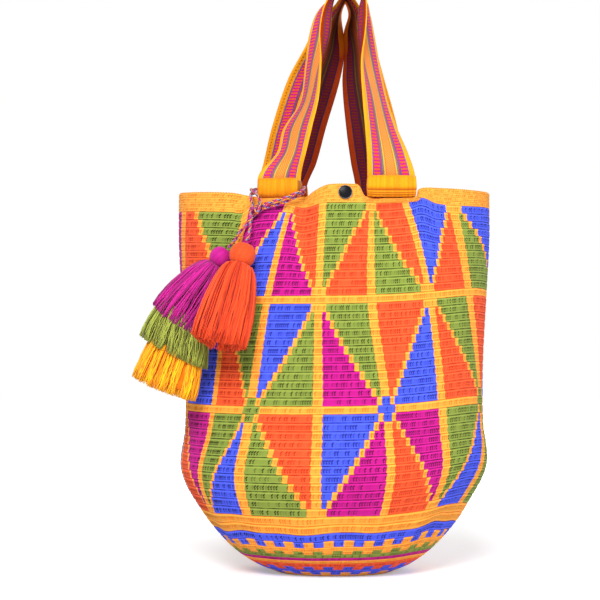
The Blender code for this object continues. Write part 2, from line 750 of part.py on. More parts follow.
def build_skirt(name, ends, axes, halves, swell, colour, parts, phase=0.0):
    """A bundle of threads that spreads from its neck to an uneven hem, flattened front to back."""
    rings = []
    for ring in range(SKIRT_RINGS + 1):
        share = ring / SKIRT_RINGS
        axis = axes[0].lerp(axes[1], share).normalized()
        across = Vector((-axis.z, 0, axis.x)).normalized()
        deep = axis.cross(across)
        spread = math.sin(share * math.pi / 2) ** swell
        half = halves[0] + (halves[1] - halves[0]) * spread
        flat = 1 + (SKIRT_FLATNESS - 1) * spread if not phase else SKIRT_FLATNESS
        points = []
        for n in range(SKIRT_SIDES):
            turn = math.tau * n / SKIRT_SIDES
            width = half * (1 + FLUTE_DEPTH * share * math.sin(turn * SKIRT_FLUTES + phase))
            drop = HEM_WAVE * share**3 * (math.sin(turn * HEM_WAVES + phase) - 1)
            middle = ends[0].lerp(ends[1], share) + axis * drop
            points.append(middle + across * width * math.cos(turn) + deep * width * flat * math.sin(turn))
        rings.append(points)
    loft(name, rings, parts, [colour])


def build_tassels(parts):
    """The one-tier tassel and the three-tier tassel, each hanging from its wound ball."""
    build_ball("orange_ball", ORANGE_BALL, ORANGE_BALL_RADIUS, "orange", parts)
    build_ball("magenta_ball", MAGENTA_BALL, MAGENTA_BALL_RADIUS, "magenta", parts)
    lean = (ORANGE_HEM - ORANGE_BALL).normalized()
    top = ORANGE_BALL + lean * (ORANGE_BALL_RADIUS + GAP)
    halves = (NECK_RADIUS, ORANGE_HEM_HALF)
    build_skirt("orange_skirt", (top, ORANGE_HEM), (lean, lean), halves, ORANGE_SWELL, "orange", parts)
    lean = (MAGENTA_HEM - MAGENTA_BALL).normalized()
    top = MAGENTA_BALL + lean * (MAGENTA_BALL_RADIUS + GAP)
    halves = (NECK_RADIUS, MAGENTA_HEM_HALF)
    build_skirt("magenta_skirt", (top, MAGENTA_HEM), (lean, lean), halves, MAGENTA_SWELL, "magenta", parts)
    lower = (
        ("olive_skirt", "green", OLIVE_HEM, OLIVE_LEAN, MAGENTA_HEM_HALF * OLIVE_NECK, OLIVE_HEM_HALF),
        ("yellow_skirt", "yellow", YELLOW_HEM, YELLOW_LEAN, OLIVE_HEM_HALF * YELLOW_NECK, YELLOW_HEM_HALF),
    )
    above = MAGENTA_HEM
    for k, (name, colour, hem, degrees, top_half, hem_half) in enumerate(lower):
        turned = math.radians(degrees)
        axis = Vector((-math.sin(turned), 0, -math.cos(turned)))
        ends = (above + lean * GAP, hem)
        halves = (top_half, hem_half)
        phase = FLUTE_SHIFT * (k + 1)
        build_skirt(name, ends, (lean, axis), halves, LOWER_SWELL, colour, parts, phase)
        above, lean = hem, axis


def main():
    clear_scene()
    parts = collection("tote_bag")
    cutters = collection("cutters")
    build_body(parts, cutters)
    build_badge(parts)
    front = strap_stations(FRONT_LEFT_END, FRONT_RIGHT_END, FRONT_LEFT, FRONT_RIGHT, FRONT_TOP_Y, False)
    build_strap("front_handle", front, parts)
    rear = strap_stations(REAR_LEFT_END, REAR_RIGHT_END, REAR_LEFT, REAR_RIGHT, REAR_TOP_Y, True)
    build_strap("rear_handle", rear, parts)
    build_roll("wrap_front_left", FRONT_LEFT_END, False, parts)
    build_roll("wrap_front_right", FRONT_RIGHT_END, False, parts, thin=True)
    build_roll("wrap_rear_left", REAR_LEFT_END, True, parts)
    build_roll("wrap_rear_right", REAR_RIGHT_END, True, parts)
    build_cord(parts)
    build_tassels(parts)


if __name__ == "__main__":
    main()
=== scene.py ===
"""Looks of a crocheted bucket tote with woven handles, wound rolls, a round badge and thread tassels.

Metres, +Z up; the front faces -Y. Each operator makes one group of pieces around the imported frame.
"""

import math

import bpy
import numpy as np
from bpy.props import FloatProperty, FloatVectorProperty, IntProperty, PointerProperty
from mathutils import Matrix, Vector


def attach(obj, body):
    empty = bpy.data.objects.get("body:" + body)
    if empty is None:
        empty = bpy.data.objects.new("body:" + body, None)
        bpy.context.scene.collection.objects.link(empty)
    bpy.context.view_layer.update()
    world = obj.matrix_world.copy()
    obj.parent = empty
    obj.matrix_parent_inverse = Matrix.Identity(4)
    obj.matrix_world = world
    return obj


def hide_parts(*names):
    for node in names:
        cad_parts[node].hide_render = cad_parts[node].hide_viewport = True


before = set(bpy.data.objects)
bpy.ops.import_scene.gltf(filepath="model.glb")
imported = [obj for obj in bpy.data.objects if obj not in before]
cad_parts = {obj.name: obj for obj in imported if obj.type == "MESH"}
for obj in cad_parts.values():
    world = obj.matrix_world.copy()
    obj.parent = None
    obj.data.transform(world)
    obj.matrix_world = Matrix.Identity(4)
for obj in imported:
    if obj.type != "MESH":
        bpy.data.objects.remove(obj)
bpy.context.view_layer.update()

bl_info = {
    "name": "Crochet Tote",
    "version": (1, 0, 0),
    "blender": (4, 5, 0),
    "location": "View3D > Sidebar > Tote",
    "description": "Builds a crocheted bucket tote with woven handles and tassels",
    "category": "Add Mesh",
}

# Camera and floor
FIELD_OF_VIEW = 0.600
CAMERA_X = -0.034
CAMERA_Z = 0.270
FLOOR_Z = -0.0006
FLOOR_RADIUS = 3.2
SENSOR = 36.0
# Light from all round, the point that the lamps look at, and each lamp's name, place, watts and size
WORLD_LIGHT = 0.37
LAMP_TARGET = (0, 0, 0.25)
LAMPS = (
    ("key", (-0.35, -2.05, 1.55), 68, 0.9),
    ("side", (1.7, -1.3, 0.8), 17, 1.5),
    ("back", (0.9, 2.1, 1.4), 26, 1.6),
)

# Body, as in the frame's source: profile as shares of height, half width and half depth
RIM_HEIGHT = 0.380
BODY_HALF_WIDTH = 0.1545
BODY_HALF_DEPTH = 0.102
PROFILE = (
    (0.000, 0.362, 0.392),
    (0.024, 0.505, 0.549),
    (0.063, 0.647, 0.696),
    (0.116, 0.770, 0.814),
    (0.174, 0.874, 0.912),
    (0.232, 0.958, 0.980),
    (0.284, 0.990, 1.000),
    (0.374, 0.961, 0.961),
    (0.526, 0.958, 0.941),
    (0.711, 0.981, 0.922),
    (0.868, 1.000, 0.873),
    (1.000, 1.000, 0.814),
)
SECTION_POWER = 2.3
WALL = 0.003
GAP = 0.0003
RIM_BAND = 0.017
LINE_HEIGHTS = (0.270, 0.165)
LINE_WIDTH = 0.0075
BAND_TOP = 0.0635
# How far the rim's edge and the top of the panels drop at places along X, on the front and on the rear;
# beside the right front roll the edge rises more steeply than in the frame
FRONT_RIM = (
    (-0.1520, 0.0050), (-0.1000, 0.0076), (-0.0830, 0.0110), (-0.0775, 0.0117), (-0.0285, 0.0117),
    (-0.0220, 0.0075), (-0.0120, 0.0020), (-0.0040, 0.0000), (0.0180, 0.0000), (0.0225, 0.0016),
    (0.0292, 0.0117), (0.0782, 0.0117), (0.0801, 0.0044), (0.1000, 0.0030), (0.1520, 0.0045),
)
REAR_RIM = (
    (-0.1520, 0.0050), (-0.1000, 0.0076), (-0.0850, 0.0108), (-0.0795, 0.0117), (-0.0260, 0.0117),
    (-0.0140, 0.0030), (0.0000, 0.0000), (0.0110, 0.0030), (0.0235, 0.0117), (0.0800, 0.0117),
    (0.0900, 0.0050), (0.1520, 0.0045),
)
FRONT_PANELS = (
    (-0.1520, 0.0060), (-0.1000, 0.0085), (-0.0900, 0.0095), (-0.0800, 0.0035), (-0.0700, 0.0015),
    (-0.0450, 0.0015), (-0.0340, 0.0048), (-0.0250, 0.0040), (-0.0130, 0.0005), (0.0000, 0.0000),
    (0.0280, 0.0000), (0.0500, 0.0000), (0.0640, -0.0012), (0.0740, -0.0024), (0.0800, -0.0044),
    (0.0860, -0.0036), (0.0970, 0.0012), (0.1200, 0.0032), (0.1520, 0.0035),
)
REAR_PANELS = (
    (-0.1520, 0.0060), (-0.1000, 0.0080), (-0.0800, 0.0030), (-0.0300, 0.0020), (0.0000, 0.0000),
    (0.0300, 0.0020), (0.0800, 0.0010), (0.1000, 0.0030), (0.1520, 0.0035),
)
# The rise on the right, the tucks under the rim and the crease, then the upright lines at four heights
RIGHT_RISE = 0.009
RISE_MIDDLE = math.radians(62)
RISE_SPREAD = math.radians(38)
TUCKS_X = (-0.030, 0.0370)
TUCK_DEPTH = 0.0050
TUCK_HALF_WIDTH = 0.0085
TUCK_LENGTH = 0.100
CREASE_DEPTH = 0.0035
CREASE_HALF_WIDTH = 0.010
CREASE_PATH = ((0.030, 0.090), (0.070, 0.126), (0.130, 0.146))
CREASE_FADE = 0.030
LINES_X = (
    (-0.972, -0.982, -0.993, -0.985),
    (-0.545, -0.706, -0.811, -0.909),
    (-0.261, -0.452, -0.580, -0.665),
    (-0.095, -0.130, -0.146, -0.163),
    (0.218, 0.200, 0.305, 0.319),
    (0.377, 0.574, 0.667, 0.669),
    (0.681, 0.835, 0.959, 0.926),
)
REAR_LINES = 5

# Handles, as in the frame's source, apart from the rear legs, which stand up to 3 mm closer under their top.
# Each free station gives its place, its turn in degrees, its share of the full width and its bow.
STRAP_WIDTH = 0.056
STRAP_THICK = 0.0026
STRAP_ACROSS = 8
STRAP_SEAM = 0.011
STRAP_EASE = 0.0010
FRONT_LEFT_END = (-0.0750, -0.0340)
FRONT_RIGHT_END = (0.0315, 0.0780)
REAR_LEFT_END = (-0.0790, -0.0270)
REAR_RIGHT_END = (0.0240, 0.0790)
HANDLE_TOP = 0.578
HANDLE_TOP_X = 0.0125
ROLL_HEIGHT = 0.0210
ROLL_SEAT = 0.0115
BOW_PEAK = 0.625
BOW_POWER = 1.3
FRONT_LEFT = (
    (-0.2738, -0.837, 0.12, -47, 0.74, 0.0),
    (-0.2362, -0.741, 0.247, -55, 0.86, 0.0),
    (-0.1631, -0.627, 0.395, -71, 0.96, 0.0),
    (-0.1379, -0.512, 0.586, -74, 0.95, 0.0055),
    (-0.1294, -0.445, 0.745, -77, 0.8, 0.0145),
    (-0.0906, -0.4, 0.873, -82, 0.84, 0.0105),
    (-0.0129, -0.36, 0.955, -88, 0.96, 0.003),
)
FRONT_RIGHT = (
    (0.1877, -0.36, 0.955, -88, 0.96, -0.0025),
    (0.2136, -0.4, 0.862, -84, 0.86, -0.009),
    (0.2233, -0.44, 0.745, -77, 0.84, -0.0105),
    (0.2278, -0.512, 0.586, -68, 0.95, -0.005),
    (0.2557, -0.627, 0.395, -62, 1.0, 0.0),
    (0.2900, -0.741, 0.247, -50, 0.91, 0.0),
    (0.3236, -0.837, 0.12, -25, 0.79, 0.0),
)
REAR_LEFT = (
    (-0.2880, 0.843, 0.12, 4, 0.98, 0.0),
    (-0.2265, 0.675, 0.31, 8, 1.0, 0.0),
    (-0.1290, 0.47, 0.554, 20, 1.0, 0.0),
    (-0.0570, 0.38, 0.713, 44, 1.0, 0.0),
    (-0.0240, 0.361, 0.825, 60, 1.0, 0.0),
    (0.0290, 0.371, 0.928, 83, 1.0, 0.0),
)
REAR_RIGHT = (
    (0.1340, 0.371, 0.928, 82, 1.0, 0.0),
    (0.1430, 0.361, 0.825, 66, 0.93, 0.0),
    (0.1725, 0.38, 0.713, 53, 0.88, 0.0),
    (0.1980, 0.494, 0.554, 36, 0.91, 0.0),
    (0.2589, 0.687, 0.31, 11, 0.95, 0.0),
    (0.3010, 0.843, 0.12, 4, 0.98, 0.0),
)
FRONT_TOP_Y = -0.349
REAR_TOP_Y = 0.361

# Tassels, as in the frame's source: each ball's middle, radius and how its skirt swells, each skirt's hem
# and its half width, and the lean in degrees and the neck's share of the hem above for the lower skirts
BALLS = {
    "orange": (Vector((-0.0885, -0.0975, 0.3125)), 0.0128, 0.42),
    "magenta": (Vector((-0.1095, -0.0850, 0.3105)), 0.0110, 0.60),
}
HEMS = {
    "orange": (Vector((-0.1100, -0.1270, 0.2290)), 0.0275),
    "magenta": (Vector((-0.1510, -0.0880, 0.2480)), 0.0300),
    "olive": (Vector((-0.1550, -0.0850, 0.2185)), 0.0365),
    "yellow": (Vector((-0.1645, -0.0830, 0.1840)), 0.0330),
}
TIERS = {"olive": (27, 0.94), "yellow": (22, 0.80)}
SKIRT_FLATNESS = 0.50
NECK_RADIUS = 0.0098
# Thread colours, lit and deep, of the skirts and of the balls with their roughness; the skirts' deep colour
# darkens strands at random and paints the shade of the core under them
LOOSE_COLOURS = {
    "orange": ((0.90, 0.075, 0.012), (0.30, 0.003, 0.0)),
    "magenta": ((0.50, 0.008, 0.24), (0.05, 0.0, 0.02)),
    "olive": ((0.31, 0.35, 0.050), (0.045, 0.030, 0.0)),
    "yellow": ((1.0, 0.43, 0.004), (0.80, 0.16, 0.0)),
}
WOUND_COLOURS = {
    "orange": ((0.72, 0.080, 0.014), (0.36, 0.02, 0.002), 0.66),
    "magenta": ((0.52, 0.008, 0.25), (0.16, 0.0, 0.07), 0.60),
}

# Badge, as in the frame's source
BADGE_X = 0.0092
BADGE_DROP = 0.0075
BADGE_RADIUS = 0.0068
BADGE_THICK = 0.0022
POST_RADIUS = 0.0014
BACKING_THICK = 0.0012
# The badge's face as shares of its radius and drops below its top; the enamel covers the first rings
BADGE_TIP = 0.00001
BADGE_FACE = (
    (0.35, 0.00013), (0.62, 0.0002), (0.82, 0.0004), (0.91, 0.0007), (0.925, 0.0005), (0.945, 0.0005),
    (0.97, 0.0007), (0.99, 0.0011), (1.0, 0.0015),
)
ENAMEL_RINGS = 4
BADGE_SIDES = 72

# The bands: steps of the mesh in metres, then the pattern in millimetres across and along
BAND_STEP = 0.0020
BAND_COLUMNS = 56
RIB_DEPTH = 0.00016
BAND_WIDE = STRAP_WIDTH * 1000
STRIPE_WIDTHS = (6.4, 1.5, 7.6, 1.7, 1.2, 1.9, 1.6)
SKY, BLUE, TEAL = (0.09, 0.14, 0.44), (0.05, 0.11, 0.38), (0.01, 0.28, 0.20)
RED, LEMON, PEACH = (0.62, 0.025, 0.035), (0.90, 0.50, 0.03), (0.88, 0.20, 0.045)
OUTER_RUNGS = ((0.62, 0.004, 0.21), (0.92, 0.11, 0.018))
# The inner face's rungs are lighter copies of the outer ones: painted light on its lit side
LIT_INNER_RUNGS = ((0.80, 0.006, 0.28), (1.0, 0.14, 0.020))
BAND_DARK = (0.20, 0.02, 0.02)
FLECKED = (1.0, 0.42, 0.03)
RUNG_PERIOD = 3.3
RUNG_SLANT = 0.04
LADDER = (12.5, 20.1)
EDGE_FROM = 21.6
CHECK_HALF = 4.9
CHECK_PERIOD = 2.6
FLECK_PERIOD = 3.4
FLECK_IN = 3.2
# The painted shade inside each handle, and the painted light on the edge of the rear handle's loop
FRONT_SHADE = 0.45
REAR_SHADE = 0.86
SHADE_FROM = 0.35
SHADE_SPAN = 0.25
SHADED_EDGE = (0.35, 0.032, 0.001)
SHADED_FACE = (0.028, 0.001, 0.002)
LOOP_MIDDLE = 228.0
LOOP_REACH = 62.0
LOOP_EDGE = 14.0
LOOP_PAINTED_LIGHT = (1.0, 0.33, 0.004)
# The rolls: their ends close in steps, and dark lines of painted shade run round the thin one, in the valleys
# of its ridges
ROLL_DEPTH = 0.0125
ROLL_SIDES = 36
ROLL_CLOSING = (1.0, 0.90, 0.62, 0.25)
ROLL_SHADE_LINES = ((5.0, 0.30), (5.45, 0.20), (5.85, 0.22))
GOLD = ((0.88, 0.30, 0.002), (0.34, 0.06, 0.0))
# The front left roll's folded end: painted shade inside the fold
SHADED_FOLD = ((0.42, 0.13, 0.006), (0.05, 0.010, 0.0))
RIDGED = ((0.96, 0.36, 0.002), (0.38, 0.075, 0.0))
ROLL_UNEVEN = 0.00016
THREAD_RISE = 0.00022
WOUND_THREAD = 0.0009
# The balls, the loose strands and the core under them
BALL_COLUMNS = 240
BALL_RINGS = 40
STRAND_RADIUS = 0.00062
TIER_TUCK = 0.012
CLUMPS = 44
INNER_SHARE = 0.28
HEM_ROUND = 0.060
# The core's map is shifted by this much so that its material paints it dark as shade
CORE_SHIFT = 1000.0
CLUMP_PULL = 0.50
STRAND_STEPS = 11
STEP_POWER = 1.6
CORE_SIDES = 48
CORE_STEPS = 9
# The cord and its route, as in the frame's source
CORD_RADIUS = 0.0015
CORD_PITCH = 0.009
CORD_STEP = 0.0009
BRAID_SIDES = 6
BRAID_COLOURS = (
    (0.70, 0.10, 0.015), (0.18, 0.30, 0.55), (0.45, 0.015, 0.22), (0.72, 0.30, 0.03), (0.05, 0.01, 0.09),
    (0.50, 0.02, 0.16),
)
CORD_ROUTE = (
    (-0.1025, -0.0858, 0.3195), (-0.0952, -0.0850, 0.3280), (-0.0910, -0.0840, 0.3350),
    (-0.0825, -0.0835, 0.3450), (-0.0755, -0.0835, 0.3530), (-0.0680, -0.0850, 0.3575),
    (-0.0560, -0.0880, 0.3610), (-0.0450, -0.0900, 0.3645), (-0.0370, -0.0900, 0.3685),
    (-0.0310, -0.0860, 0.3720), (-0.0300, -0.0790, 0.3738), (-0.0305, -0.0715, 0.3745),
    (-0.0350, -0.0670, 0.3745), (-0.0560, -0.0665, 0.3740), (-0.0740, -0.0640, 0.3735),
    (-0.0795, -0.0690, 0.3722), (-0.0806, -0.0780, 0.3716), (-0.0808, -0.0856, 0.3685),
    (-0.0800, -0.0885, 0.3625), (-0.0780, -0.0895, 0.3570), (-0.0752, -0.0900, 0.3538),
    (-0.0725, -0.0895, 0.3570), (-0.0722, -0.0900, 0.3630), (-0.0735, -0.0925, 0.3682),
    (-0.0775, -0.0925, 0.3728), (-0.0802, -0.0880, 0.3750), (-0.0804, -0.0790, 0.3751),
    (-0.0797, -0.0690, 0.3757), (-0.0740, -0.0640, 0.3772), (-0.0560, -0.0665, 0.3778),
    (-0.0350, -0.0670, 0.3782), (-0.0305, -0.0715, 0.3780), (-0.0300, -0.0800, 0.3775),
    (-0.0305, -0.0880, 0.3750), (-0.0370, -0.0938, 0.3715), (-0.0450, -0.0938, 0.3680),
    (-0.0560, -0.0920, 0.3645), (-0.0680, -0.0880, 0.3610), (-0.0755, -0.0835, 0.3590),
    (-0.0810, -0.0835, 0.3560), (-0.0805, -0.0880, 0.3495), (-0.0812, -0.0913, 0.3420),
    (-0.0819, -0.0928, 0.3355), (-0.0830, -0.0944, 0.3300), (-0.0849, -0.0964, 0.3257),
)

# Crochet: stitches round, to a panel and to its upright line, and the rows of each band
STITCHES = 336
PANEL = 28
UPRIGHT = 4
FIELD = PANEL - UPRIGHT
DIAGONAL = 2
RIM_ROWS = 4
TIER_ROWS = (11, 12, 12)
BAND_ROWS = 2
BAND_BOTTOM = 0.0462
STITCH_WIDTH = 0.0024
ROW_IN_STITCHES = 3.46
FRONT_SPAN = 7
# The rise of the low rows on the right, and their waves
LOW_RISE = 0.0085
LOW_MIDDLE = math.radians(60)
LOW_SPREAD = math.radians(34)
LOW_START = 0.050
LOW_END = 0.155
LOW_FADE = 0.080
WAVES = (8, 15)
WAVE_RISE = 0.0016
WAVE_DEPTH = 0.0013
WAVE_HEIGHT = 0.046
WAVE_SPREAD = 0.017
WAVE_LAG = 0.15
# Rows of the base below the band: the height or the share of the flat spot that each reaches, and its colours
BASE_ROWS = (
    (0.0385, "blue"), (0.0325, "blue yellow"), (0.0285, "yellow"), (0.0250, "yellow green"),
    (0.0215, "green"), (0.0185, "magenta"), (0.0155, "yellow"), (0.0115, "orange"),
    (0.0080, "orange blue"), (0.0050, "blue"), (0.0020, "blue yellow"), (0.0, "yellow"),
)
FLAT_ROWS = (
    (0.85, "orange"), (0.70, "magenta"), (0.55, "yellow"), (0.40, "green"), (0.25, "blue"), (0.10, "yellow"),
)
TEETH = 8

# Within one row: how far down each ring lies, how far the posts lean there in shares of a stitch,
# and the height of the surface on a post and in the groove beside it
RING_PLACES = (0.0, 0.15, 0.38, 0.64, 0.86)
RING_LEAN = (0.0, -0.06, -0.16, -0.30, -0.42)
POST_HEIGHT = (-0.00022, 0.00034, 0.00030, 0.00030, 0.00030)
GROOVE_HEIGHT = (-0.00026, 0.00026, -0.00045, -0.00050, 0.00012)
UNEVEN = 0.00014
SEED = 7
FACING_STEP = 0.0006
ROW_HOLLOW = 0.0003
# The rim's top edge: share of the wall inwards, rise and place on the stitch map, and the rise of its teeth
RIM_EDGE = ((1.0, -0.0006, -0.35), (0.75, 0.0006, -0.25), (0.3, 0.0009, -0.12))
RIM_TEETH = 0.0002

# Panel colours from the left edge of the front and on round the rear, as "upper lower" for each tier
PANEL_COLOURS = (
    "green orange|magenta blue|orange magenta|green orange|orange green|blue orange|blue green"
    "|magenta orange|orange green|blue magenta|green blue|green magenta",
    "orange blue|green orange|blue green|green magenta|orange blue|green orange|orange blue"
    "|green magenta|blue orange|orange green|magenta blue|blue orange",
    "magenta orange|green blue|orange green|blue magenta|magenta orange|green blue|magenta green"
    "|orange blue|green magenta|blue orange|orange green|magenta blue",
)
# Crosses on the lower level line, by upright line, and the half widths of their three rows in stitches
CROSSES = {2: "green", 4: "blue", 6: "green", 8: "magenta", 10: "green"}
CROSS_HALVES = (2, 4, 2)
# Stitches by which a diagonal starts late, by tier and panel
LATE_STARTS = {(0, 0): 5, (0, 11): 6}
CROCHET = ("yellow", "magenta", "green", "blue", "orange")
# The painted shade in the holes between the stitches and in the line between rows: its colour for each
# thread, and how much of it shows
STITCH_HOLE_SHADES = {
    "yellow": ((0.80, 0.12, 0.004), 0.82), "magenta": ((0.045, 0.0, 0.020), 0.95),
    "green": ((0.016, 0.022, 0.0), 0.97), "blue": ((0.004, 0.006, 0.085), 0.95),
    "orange": ((0.42, 0.012, 0.002), 0.88),
}
STITCH_MAP = "stitches"
# The holes of a stitch, where shade is painted, as (middle, half width, half height, lean), how far they
# stray, and the half height of the seam between rows, where shade is painted too
DASH = ((0.0, 0.40), 0.34, 0.86, -0.60)
DOT = ((0.08, 0.68), 0.32, 0.46, -0.3)
STRAY = 0.24
SEAM_HALF = 0.105
PLAIN_GLOSS = 0.15


def colour_setting(name, use, default):
    """A colour that a user may set."""
    return FloatVectorProperty(
        name=name, description=f"Colour of the {use}", subtype="COLOR", default=default, min=0.0, max=1.0
    )


class ToteSettings(bpy.types.PropertyGroup):
    """The sizes and colours that a user may set."""

    yellow: colour_setting("Yellow", "lines between the panels", (1.0, 0.40, 0.052))
    magenta: colour_setting("Magenta", "magenta panels", (0.56, 0.009, 0.255))
    green: colour_setting("Green", "olive panels", (0.245, 0.32, 0.053))
    blue: colour_setting("Blue", "blue panels", (0.070, 0.110, 0.90))
    orange: colour_setting("Orange", "orange panels", (0.90, 0.105, 0.029))
    relief: FloatProperty(
        name="Stitch Relief", description="Depth of the stitches, as a share of the real depth",
        default=1.0, min=0.0, max=2.0,
    )
    strands: IntProperty(
        name="Tassel Strands", description="Strands in each tassel skirt", default=520, min=60, max=900,
    )
    camera_distance: FloatProperty(
        name="Camera Distance", description="Distance from the camera to the middle of the bag",
        default=1.8, min=0.5, max=6.0, unit="LENGTH",
    )


class Field:
    """A shader socket that adds, multiplies and compares like a number."""

    def __init__(self, graph, socket):
        self.graph = graph
        self.socket = socket

    def maths(self, operation, *others, clamp=False):
        sockets = dict(enumerate((self, *others)))
        return self.graph.value("Math", sockets, operation=operation, use_clamp=clamp)

    def __add__(self, other):
        return self.maths("ADD", other)

    def __mul__(self, other):
        return self.maths("MULTIPLY", other)

    def __sub__(self, other):
        return self.maths("SUBTRACT", other)

    def __rsub__(self, other):
        return (self * -1.0) + other

    def __lt__(self, other):
        return self.maths("LESS_THAN", other)

    def __gt__(self, other):
        return self.maths("GREATER_THAN", other)

    def __abs__(self):
        return self.maths("ABSOLUTE")

    __radd__ = __add__
    __rmul__ = __mul__

    def clamped(self):
        return self.maths("ADD", 0.0, clamp=True)

    def wave(self):
        """A sine between 0 and 1 that comes round once in each unit."""
        return (self * math.tau).maths("SINE") * 0.5 + 0.5

    def peak(self, place, half):
        """1 at a place, falling evenly to 0 at half away from it."""
        return (1.0 - abs(self - place) * (1 / half)).clamped()


class Nodes:
    """A node tree whose nodes all come from one method."""

    def __init__(self, tree):
        self.tree = tree

    def node(self, kind, sockets=None, stops=(), **settings):
        """A node of a kind, with its settings or a ramp's stops set first, and then its sockets."""
        made = self.tree.nodes.new("ShaderNode" + kind)
        for key, value in settings.items():
            setattr(made, key, value)
        if stops:
            made.color_ramp.interpolation = "CONSTANT"
            made.color_ramp.elements.remove(made.color_ramp.elements[-1])
        for place, colour in stops:
            stop = made.color_ramp.elements.new(place) if place else made.color_ramp.elements[0]
            stop.color = (*colour, 1.0)
        self.feed(made, sockets or {})
        return made

    def feed(self, node, sockets):
        """Link or set a node's inputs, from fields, sockets, colours and numbers."""
        for key, value in sockets.items():
            socket = node.inputs[key]
            value = value.socket if isinstance(value, Field) else value
            if isinstance(value, bpy.types.NodeSocket):
                self.tree.links.new(value, socket)
            else:
                socket.default_value = (*value, 1.0) if socket.type == "RGBA" else value

    def value(self, kind, sockets=None, output=0, **settings):
        """One output of a new node, as a field."""
        return Field(self, self.node(kind, sockets, **settings).outputs[output])


class Graph(Nodes):
    """The nodes of one material, built around its Principled shader."""

    def __init__(self, name, roughness, sheen=0.0, gloss=PLAIN_GLOSS, metallic=0.0):
        self.material = bpy.data.materials.new(name)
        self.material.use_nodes = True
        super().__init__(self.material.node_tree)
        self.shader = self.tree.nodes["Principled BSDF"]
        self.feed(self.shader, {
            "Roughness": roughness, "Sheen Weight": sheen, "Metallic": metallic, "Specular IOR Level": gloss,
        })

    def noise(self, scale, detail=2.0, stretch=None):
        """Noise over the piece in its own metres, stretched along its axes if asked."""
        place = self.node("TexCoord").outputs["Object"]
        if stretch:
            place = self.node("Mapping", {"Vector": place, "Scale": stretch}).outputs[0]
        return self.value("TexNoise", {"Vector": place, "Scale": scale, "Detail": detail})

    def chance(self, x, y=0.0):
        """A random number for each whole x and y."""
        return self.value("TexWhiteNoise", {"Vector": self.node("CombineXYZ", {"X": x, "Y": y}).outputs[0]})

    def stitches(self):
        """The two coordinates of the stitch map."""
        split = self.node("SeparateXYZ", {"Vector": self.node("UVMap", uv_map=STITCH_MAP).outputs[0]})
        return Field(self, split.outputs[0]), Field(self, split.outputs[1])

    def mix(self, share, first, second):
        """A colour between two colours or colour sockets."""
        return self.node("Mix", {0: share, 6: first, 7: second}, data_type="RGBA").outputs[2]

    def finish(self, colour, height=None, depth=0.0003, strength=0.6, **others):
        """Feed the shader its colour, its bump and what else varies, and return the material."""
        if height is not None:
            bump = self.node("Bump", {"Height": height, "Strength": strength, "Distance": depth})
            others["Normal"] = bump.outputs[0]
        self.feed(self.shader, {"Base Color": colour, **others})
        return self.material


def shade(colour, factor):
    """A colour made darker or lighter by a factor, kept in range."""
    return tuple(min(max(c * factor, 0.0), 1.0) for c in colour)


def spot(across, down, middle, half_across, half_down, turn=0.0, edge=3.0):
    """A soft-edged oval in one stitch, sized in stitch widths; turn leans it to the left at its top."""
    a = across - middle[0]
    b = (down - middle[1]) * ROW_IN_STITCHES
    cosine, sine = math.cos(turn), math.sin(turn)
    u = (a * cosine + b * -sine) * (1 / half_across)
    v = (a * sine + b * cosine) * (1 / half_down)
    return ((1.0 - (u * u + v * v).maths("SQRT")) * edge).clamped()


def yarn(name, colour, deep, depth):
    """Crochet thread: painted shade in the slanted holes between the stitches and in a dark line between
    rows, painted highlight on the bars at the top and bottom of each row, plied strands, fuzz.
    """
    graph = Graph(name, 0.85, sheen=0.06)
    across, down = graph.stitches()
    row = down.maths("FLOOR")
    low = down - row
    nearest = across.maths("ROUND")
    chance = graph.chance(nearest, row)
    off = across - nearest + (chance - 0.5) * STRAY
    # Painted shade: the holes of each stitch and the seam between rows take the deep colour
    dash, dot = (spot(off, low, *place) for place in (DASH, DOT))
    sag = graph.noise(160.0)
    seam = ((1.0 - (0.5 - abs(low - 0.5)) * (1 / SEAM_HALF)) * 1.5).clamped()
    holes = (dash.maths("MAXIMUM", dot) * ((chance - 0.16) * 1.9).clamped()).clamped()
    hollow = holes.maths("MAXIMUM", seam * (sag * 1.8 - 0.25 + chance * 0.25).clamped()).clamped()
    strands = (across * 2.0 + low * 1.6).wave()
    wear = graph.noise(30.0, 3.0)
    fuzz = graph.noise(1500.0)
    # Painted highlight: the bars at the top and bottom of each row are lighter; the plied strands and fuzz
    # add the thread's own tone
    lit = (low.peak(0.16, 0.13) + low.peak(0.88, 0.10) * 0.8 + strands * 0.18 + fuzz * 0.35 - 0.05).clamped()
    light = graph.mix(lit, shade(colour, 0.80), shade(colour, 1.14))
    toned = graph.mix(((wear - 0.42) * 1.2).clamped(), light, shade(colour, 0.84))
    return graph.finish(graph.mix(hollow * depth, toned, deep), strands * 0.35 + fuzz * 0.5 - hollow, 0.0006)


def crochet_materials(settings):
    """The five threads of the body, in the order of CROCHET."""
    return [yarn(f"thread_{n}", tuple(getattr(settings, n)), *STITCH_HOLE_SHADES[n]) for n in CROCHET]


def smooth(value):
    value = np.clip(value, 0.0, 1.0)
    return value * value * (3 - 2 * value)


def bell(distance, half_width):
    return np.exp(-((distance / half_width) ** 2))


def unit(vectors):
    return vectors / np.linalg.norm(vectors, axis=-1, keepdims=True)


def circle(count):
    """The angles of points spread evenly once round."""
    return math.tau * np.arange(count) / count


def wrapped(angle):
    """An angle brought to within half a turn of 0."""
    return (angle + math.pi) % math.tau - math.pi


def distances(path):
    """How far along a path each of its points lies."""
    return np.concatenate([[0.0], np.cumsum(np.linalg.norm(np.diff(path, axis=0), axis=1))])


